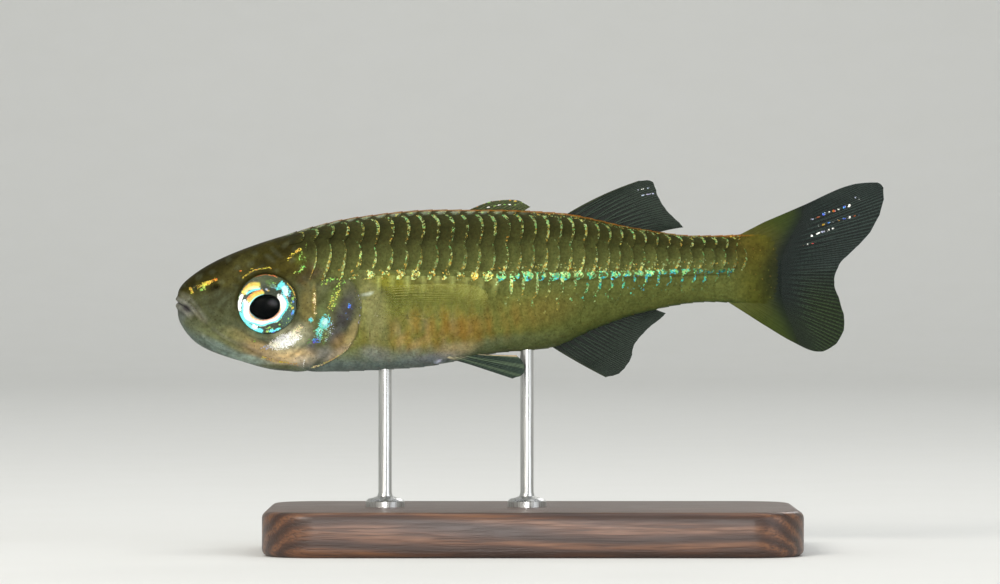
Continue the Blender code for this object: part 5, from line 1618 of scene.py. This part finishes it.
def tail_paint(context, points, ridges):
    """Yellow flesh at the root, a dusky crescent behind it, then grey-green lobes with bright dots."""
    fins, fish, gleams = context.scene.fin_colours, context.scene.fish_colours, context.scene.gleam_colours
    distance, height = points[..., 0], points[..., 2]
    paint = one_colour(distance.shape, fins.tail_outer)
    paint = laid(paint, fins.tail_lower, 1 - soft(height, -3.0, 3.0))
    paint = laid(paint, fins.edge, 0.8 * first_ray(points, 8))
    off = past_crescent(distance, height)
    paint = laid(paint, fish.lower_rear, 1 - soft(off, -3.0, 0.0))
    paint = tail_root_paint(fish, paint, distance, height)
    flesh = 0.98 * (1 - soft(off, 0.3, 3.5))
    return paint, fin_flecks(gleams, distance, height), flesh, 1.0


def pectoral_paint(context, points, ridges):
    """Yellow at the root, clear further out. The lower rays hardly show."""
    fins = context.scene.fin_colours
    paint = one_colour(points.shape[:2], fins.pectoral)
    away = points[..., 0] - PECTORAL_ROOTS[0][0]
    low = np.linspace(0, 1, points.shape[0])[:, None]
    gleam = np.zeros((*points.shape[:2], 4))
    flesh = 0.5 * (1 - soft(away, 0.2, 2.5)) * (1 - soft(low, 0.15, 0.4))
    shown = 1 - 0.92 * soft(low, 0.25, 0.65)
    paint = laid(paint, fins.pectoral_ray, 0.7 * ridges * shown)
    return paint, gleam, flesh, shown


def pelvic_paint(context, points, ridges):
    """Grey-green with pale bands along the rays, a pale top ray and a pale root."""
    fins = context.scene.fin_colours
    column = np.arange(points.shape[0])[:, None]
    along = np.linspace(0, 1, points.shape[1])[None, :]
    bands = soft(np.sin(column * 0.17 + 0.6), 0.0, 0.9) * soft(along, 0.05, 0.3)
    paint = laid(one_colour(points.shape[:2], fins.pelvic), fins.pelvic_band, 0.5 * bands)
    paint = laid(paint, fins.pelvic_root, 0.8 * (1 - soft(along, 0.02, 0.3)))
    paint = laid(paint, fins.pelvic_edge, 0.85 * first_ray(points, 8))
    flesh = np.broadcast_to(0.7 * (1 - soft(along, 0.0, 0.3)), points.shape[:2])
    return paint, np.zeros((*points.shape[:2], 4)), flesh, 1.0


def lay_tail_fin(points, along):
    """The tail fin on the midline, with its lower lobe bent."""
    return tail_bend(points[..., 0], points[..., 2])


def lay_beside_body(side):
    """A pectoral fin leaves the flank and stands out a little more towards its tip."""

    def lay(points, along):
        lift = -PECTORAL_SINK + (PECTORAL_LIFT + PECTORAL_SINK) * along**0.45
        return side * (width_at(points[..., 0], points[..., 2]) + lift)

    return lay


def along_body(profile, ends, sink):
    """Fin roots along the back or the belly, sunk into it."""
    return [(x, 0.0, float(profile(x)) + sink) for x in np.linspace(*ends, 4)]


def in_side_view(points):
    """(distance, height) points as (distance, across, height) ones on the midline."""
    return [(distance, 0.0, height) for distance, height in points]


def make_fins(context):
    """The eight fins, each in place of its node."""
    sizes = context.scene.model_sizes
    dusky = fin_material(sizes, "dusky fin membrane and rays", sizes.web_cover, sizes.ray_cover,
                         web_light=0.85, ray_light=3.3)
    clear = fin_material(sizes, "clear fin membrane and rays", sizes.clear_web_cover, sizes.clear_ray_cover,
                         web_light=0.9, ray_light=1.2)
    make_fin(context, dusky, "fine_first_dorsal_fin", along_body(back, FIRST_DORSAL_ROOTS, -0.4),
             in_side_view(FIRST_DORSAL_TIPS), FIRST_DORSAL_RAYS, 30, bow=0.05,
             painted=plain_fin("first_dorsal", 0.8, 0.5))
    make_fin(context, dusky, "fine_second_dorsal_fin", along_body(back, SECOND_DORSAL_ROOTS, -FIN_SINK),
             in_side_view(SECOND_DORSAL_TIPS), SECOND_DORSAL_RAYS, 60, bow=0.07,
             painted=plain_fin("membrane", 0.5))
    make_fin(context, dusky, "fine_anal_fin", along_body(belly, ANAL_ROOTS, FIN_SINK),
             in_side_view(ANAL_TIPS), ANAL_RAYS, 60, bow=-0.03, painted=plain_fin("membrane", 0.2))
    make_fin(context, dusky, "fine_caudal_fin", in_side_view(TAIL_ROOTS), in_side_view(TAIL_TIPS),
             TAIL_RAYS, 110, lay=lay_tail_fin, painted=tail_paint, stout=1.15)
    for side, word in SIDES.items():
        roots, tips = ([(x, side * y, z) for x, y, z in ends] for ends in (PELVIC_ROOTS, PELVIC_TIPS))
        make_fin(context, clear, f"fine_pectoral_fin_{word}", in_side_view(PECTORAL_ROOTS),
                 in_side_view(PECTORAL_TIPS), PECTORAL_RAYS, 60, bow=0.03, lay=lay_beside_body(side),
                 painted=pectoral_paint)
        make_fin(context, dusky, f"fine_pelvic_fin_{word}", roots, tips, PELVIC_RAYS, 50,
                 painted=pelvic_paint)


# The stand, in metres

BASE_CORNER, BASE_EDGE = 0.006, 0.0008
ROD_RADIUS, COLLAR_RADIUS = 0.00075, 0.0022
ROD_SPOKES = 48


def make_stand(context):
    """A walnut block with round corners, and two turned steel rods up to the belly."""
    low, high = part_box("stand_base")
    deselect()
    bpy.ops.mesh.primitive_cube_add(size=1.0)
    base = bpy.context.object
    base.name = base.data.name = "walnut_base"
    bpy.ops.object.mode_set(mode="EDIT")
    bpy.ops.mesh.select_all(action="SELECT")
    bpy.ops.transform.resize(value=tuple(high - low))
    bpy.ops.transform.translate(value=tuple((high + low) / 2))
    bpy.ops.mesh.select_mode(type="EDGE")
    bpy.ops.mesh.select_all(action="DESELECT")
    bpy.ops.object.mode_set(mode="OBJECT")
    for edge in base.data.edges:
        ends = [base.data.vertices[v].co for v in edge.vertices]
        edge.select = abs(ends[0].z - ends[1].z) > abs(high.z - low.z) / 2
    bpy.ops.object.mode_set(mode="EDIT")
    bpy.ops.mesh.bevel(offset=BASE_CORNER, segments=14, affect="EDGES")
    bpy.ops.object.mode_set(mode="OBJECT")
    rounding = base.modifiers.new("edge", "BEVEL")
    rounding.width = BASE_EDGE
    rounding.segments = 4
    rounding.limit_method = "ANGLE"
    rounding.angle_limit = math.radians(60)
    only(base)
    bpy.ops.object.modifier_apply(modifier=rounding.name)
    base.data.shade_smooth()
    base.data.set_sharp_from_angle(angle=math.radians(40))
    dress(base, walnut_material(), "base_wood", "stand_base")
    steel = steel_material()
    for name in ("stand_rod_front", "stand_rod_rear"):
        low_rod, high_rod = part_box(name)
        centre = (low_rod + high_rod) / 2
        distance = centre.x / MM + TOTAL_LENGTH / 2
        top = (AXIS_HEIGHT + float(belly(distance)) + 0.5) * MM
        foot = high.z
        profile = [(0.0, top), (ROD_RADIUS, top), (ROD_RADIUS, foot + 0.0016),
                   (ROD_RADIUS * 1.15, foot + 0.0012), (0.0014, foot + 0.001), (0.0019, foot + 0.0009),
                   (COLLAR_RADIUS, foot + 0.0006), (COLLAR_RADIUS, foot - 0.0005), (0.0, foot - 0.0005)]
        rod = shaped_grid(name.replace("stand", "steel"), len(profile) - 1, ROD_SPOKES,
                          turned(profile, centre[:2], ROD_SPOKES))
        rod.data.set_sharp_from_angle(angle=math.radians(40))
        dress(rod, steel, "rod_steel", name)


# The studio

BOWL_SPOKES = 96
# Lights: name, kind, place, width of the source in metres, watts, colour
LIGHTS = (
    ("key_light", "AREA", (-0.45, -0.85, 0.6), 0.5, 7.0, "#FFFAF2"),
    ("fill_light", "AREA", (0.75, -0.6, 0.35), 0.7, 3.0, "#F2F7FF"),
    ("low_light", "SPOT", (0.0, -0.95, 0.06), 0.12, 20.5, "#FFFFFF"),
    ("top_light", "AREA", (0.05, 0.1, 1.2), 0.9, 3.0, "#FFFFFF"),
    ("back_light", "SPOT", (0.3, 0.95, 0.6), 0.2, 14.0, "#FFFFFF"),
)
LIGHT_TARGET = (0.0, 0.0, 0.03)
SPOT_CONE = math.radians(14)
SPOT_BLEND = 0.8
SKY_COLOUR, SKY_STRENGTH = "#EEF1F4", 0.6
# Across and up, in metres
CAMERA_PLACE = (-0.00364, 0.0292)
SENSOR_WIDTH = 36.0


def make_light(name, kind, place, size, power, colour):
    """One soft light, aimed at the fish."""
    deselect()
    aim = (Vector(LIGHT_TARGET) - Vector(place)).to_track_quat("-Z", "Y")
    bpy.ops.object.light_add(type=kind, location=place, rotation=aim.to_euler())
    light = bpy.context.object
    light.name = light.data.name = name
    if kind == "AREA":
        light.data.shape = "DISK"
        light.data.size = size
    else:
        light.data.shadow_soft_size = size
        light.data.spot_size = SPOT_CONE
        light.data.spot_blend = SPOT_BLEND
    light.data.energy = power
    light.data.color = hex_colour(colour)


def make_studio(context):
    """A pale bowl of studio paper, soft lights and the camera at the photograph's angle."""
    sizes = context.scene.model_sizes
    rise = sizes.bowl_wall - sizes.bowl_floor
    profile = [(0.0, 0.0), (0.15, 0.0), (0.5, 0.0), (sizes.bowl_floor, 0.0)]
    for degrees in range(10, 91, 10):
        turn = math.radians(degrees)
        profile.append((sizes.bowl_floor + rise * math.sin(turn), rise * (1 - math.cos(turn))))
    profile.append((sizes.bowl_wall, sizes.bowl_height))
    bowl = shaped_grid("studio_bowl", len(profile) - 1, BOWL_SPOKES,
                       turned(profile, (0.0, 0.0), BOWL_SPOKES))
    if bowl.data.polygons[0].normal.z < 0:
        flip(bowl)
    bowl.data.materials.append(studio_material())
    for light in LIGHTS:
        make_light(*light)
    world = bpy.data.worlds.new("pale studio")
    world.use_nodes = True
    background = world.node_tree.nodes["Background"]
    background.inputs["Color"].default_value = (*hex_colour(SKY_COLOUR), 1.0)
    background.inputs["Strength"].default_value = SKY_STRENGTH
    context.scene.world = world
    deselect()
    bpy.ops.object.camera_add(location=(CAMERA_PLACE[0], -sizes.camera_distance, CAMERA_PLACE[1]),
                              rotation=(math.radians(90), 0.0, 0.0))
    camera = bpy.context.object
    camera.name = camera.data.name = "camera"
    camera.data.sensor_width = SENSOR_WIDTH
    camera.data.lens = camera.data.sensor_width * sizes.camera_distance / sizes.view_width
    camera.data.clip_start, camera.data.clip_end = 0.01, 10.0
    context.scene.camera = camera
    context.scene.view_settings.view_transform = "Standard"


class TELMATHERINA_OT_skin(bpy.types.Operator):
    """Lays one painted skin over the head, gill covers, trunk and tail"""

    bl_idname = "telmatherina.add_skin"
    bl_label = "Skin"

    def execute(self, context):
        make_skin(context)
        return {"FINISHED"}


class TELMATHERINA_OT_scales(bpy.types.Operator):
    """Lays the scales in rows over both flanks"""

    bl_idname = "telmatherina.add_scales"
    bl_label = "Scales"

    def execute(self, context):
        material = scale_material(context.scene.model_sizes)
        for side in SIDES:
            dress(make_scales(context, side), material, "skin")
        return {"FINISHED"}


class TELMATHERINA_OT_eyes(bpy.types.Operator):
    """Sets both eyes, each an iris with its lens and a clear cornea"""

    bl_idname = "telmatherina.add_eyes"
    bl_label = "Eyes"

    def execute(self, context):
        make_eyes(context)
        return {"FINISHED"}


class TELMATHERINA_OT_fins(bpy.types.Operator):
    """Grows the eight fins with their forked rays"""

    bl_idname = "telmatherina.add_fins"
    bl_label = "Fins"

    def execute(self, context):
        make_fins(context)
        return {"FINISHED"}


class TELMATHERINA_OT_stand(bpy.types.Operator):
    """Makes the walnut base and the two steel rods"""

    bl_idname = "telmatherina.add_stand"
    bl_label = "Stand"

    def execute(self, context):
        make_stand(context)
        return {"FINISHED"}


class TELMATHERINA_OT_studio(bpy.types.Operator):
    """Makes the pale backdrop, the soft lights and the camera"""

    bl_idname = "telmatherina.add_studio"
    bl_label = "Studio"

    def execute(self, context):
        make_studio(context)
        return {"FINISHED"}


PIECES = (TELMATHERINA_OT_skin, TELMATHERINA_OT_scales, TELMATHERINA_OT_eyes, TELMATHERINA_OT_fins,
          TELMATHERINA_OT_stand, TELMATHERINA_OT_studio)


class TELMATHERINA_PT_panel(bpy.types.Panel):
    """Lists the pieces of the model with their sizes and colours"""

    bl_label = "Telmatherina"
    bl_idname = "TELMATHERINA_PT_panel"
    bl_space_type = "VIEW_3D"
    bl_region_type = "UI"
    bl_category = "Telmatherina"

    def draw(self, context):
        for piece in PIECES:
            self.layout.operator(piece.bl_idname)
        for name in GROUPS:
            box = self.layout.box()
            group = getattr(context.scene, name)
            for key in group.bl_rna.properties.keys():
                if key not in ("rna_type", "name"):
                    box.prop(group, key)


# Groups of settings in the panel, by the name that the scene keeps them under
GROUPS = {"model_sizes": ModelSizes, "fish_colours": FishColours, "gleam_colours": GleamColours,
          "fin_colours": FinColours}
CLASSES = (*GROUPS.values(), *PIECES, TELMATHERINA_PT_panel)


def register():
    for made in CLASSES:
        bpy.utils.register_class(made)
    for name, group in GROUPS.items():
        setattr(bpy.types.Scene, name, PointerProperty(type=group))


def unregister():
    for name in GROUPS:
        delattr(bpy.types.Scene, name)
    for made in reversed(CLASSES):
        bpy.utils.unregister_class(made)


def main():
    register()
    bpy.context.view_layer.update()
    deselect()
    bpy.ops.telmatherina.add_studio()
    bpy.ops.telmatherina.add_skin()
    bpy.ops.telmatherina.add_scales()
    bpy.ops.telmatherina.add_eyes()
    bpy.ops.telmatherina.add_fins()
    bpy.ops.telmatherina.add_stand()


if __name__ == "__main__":
    main()
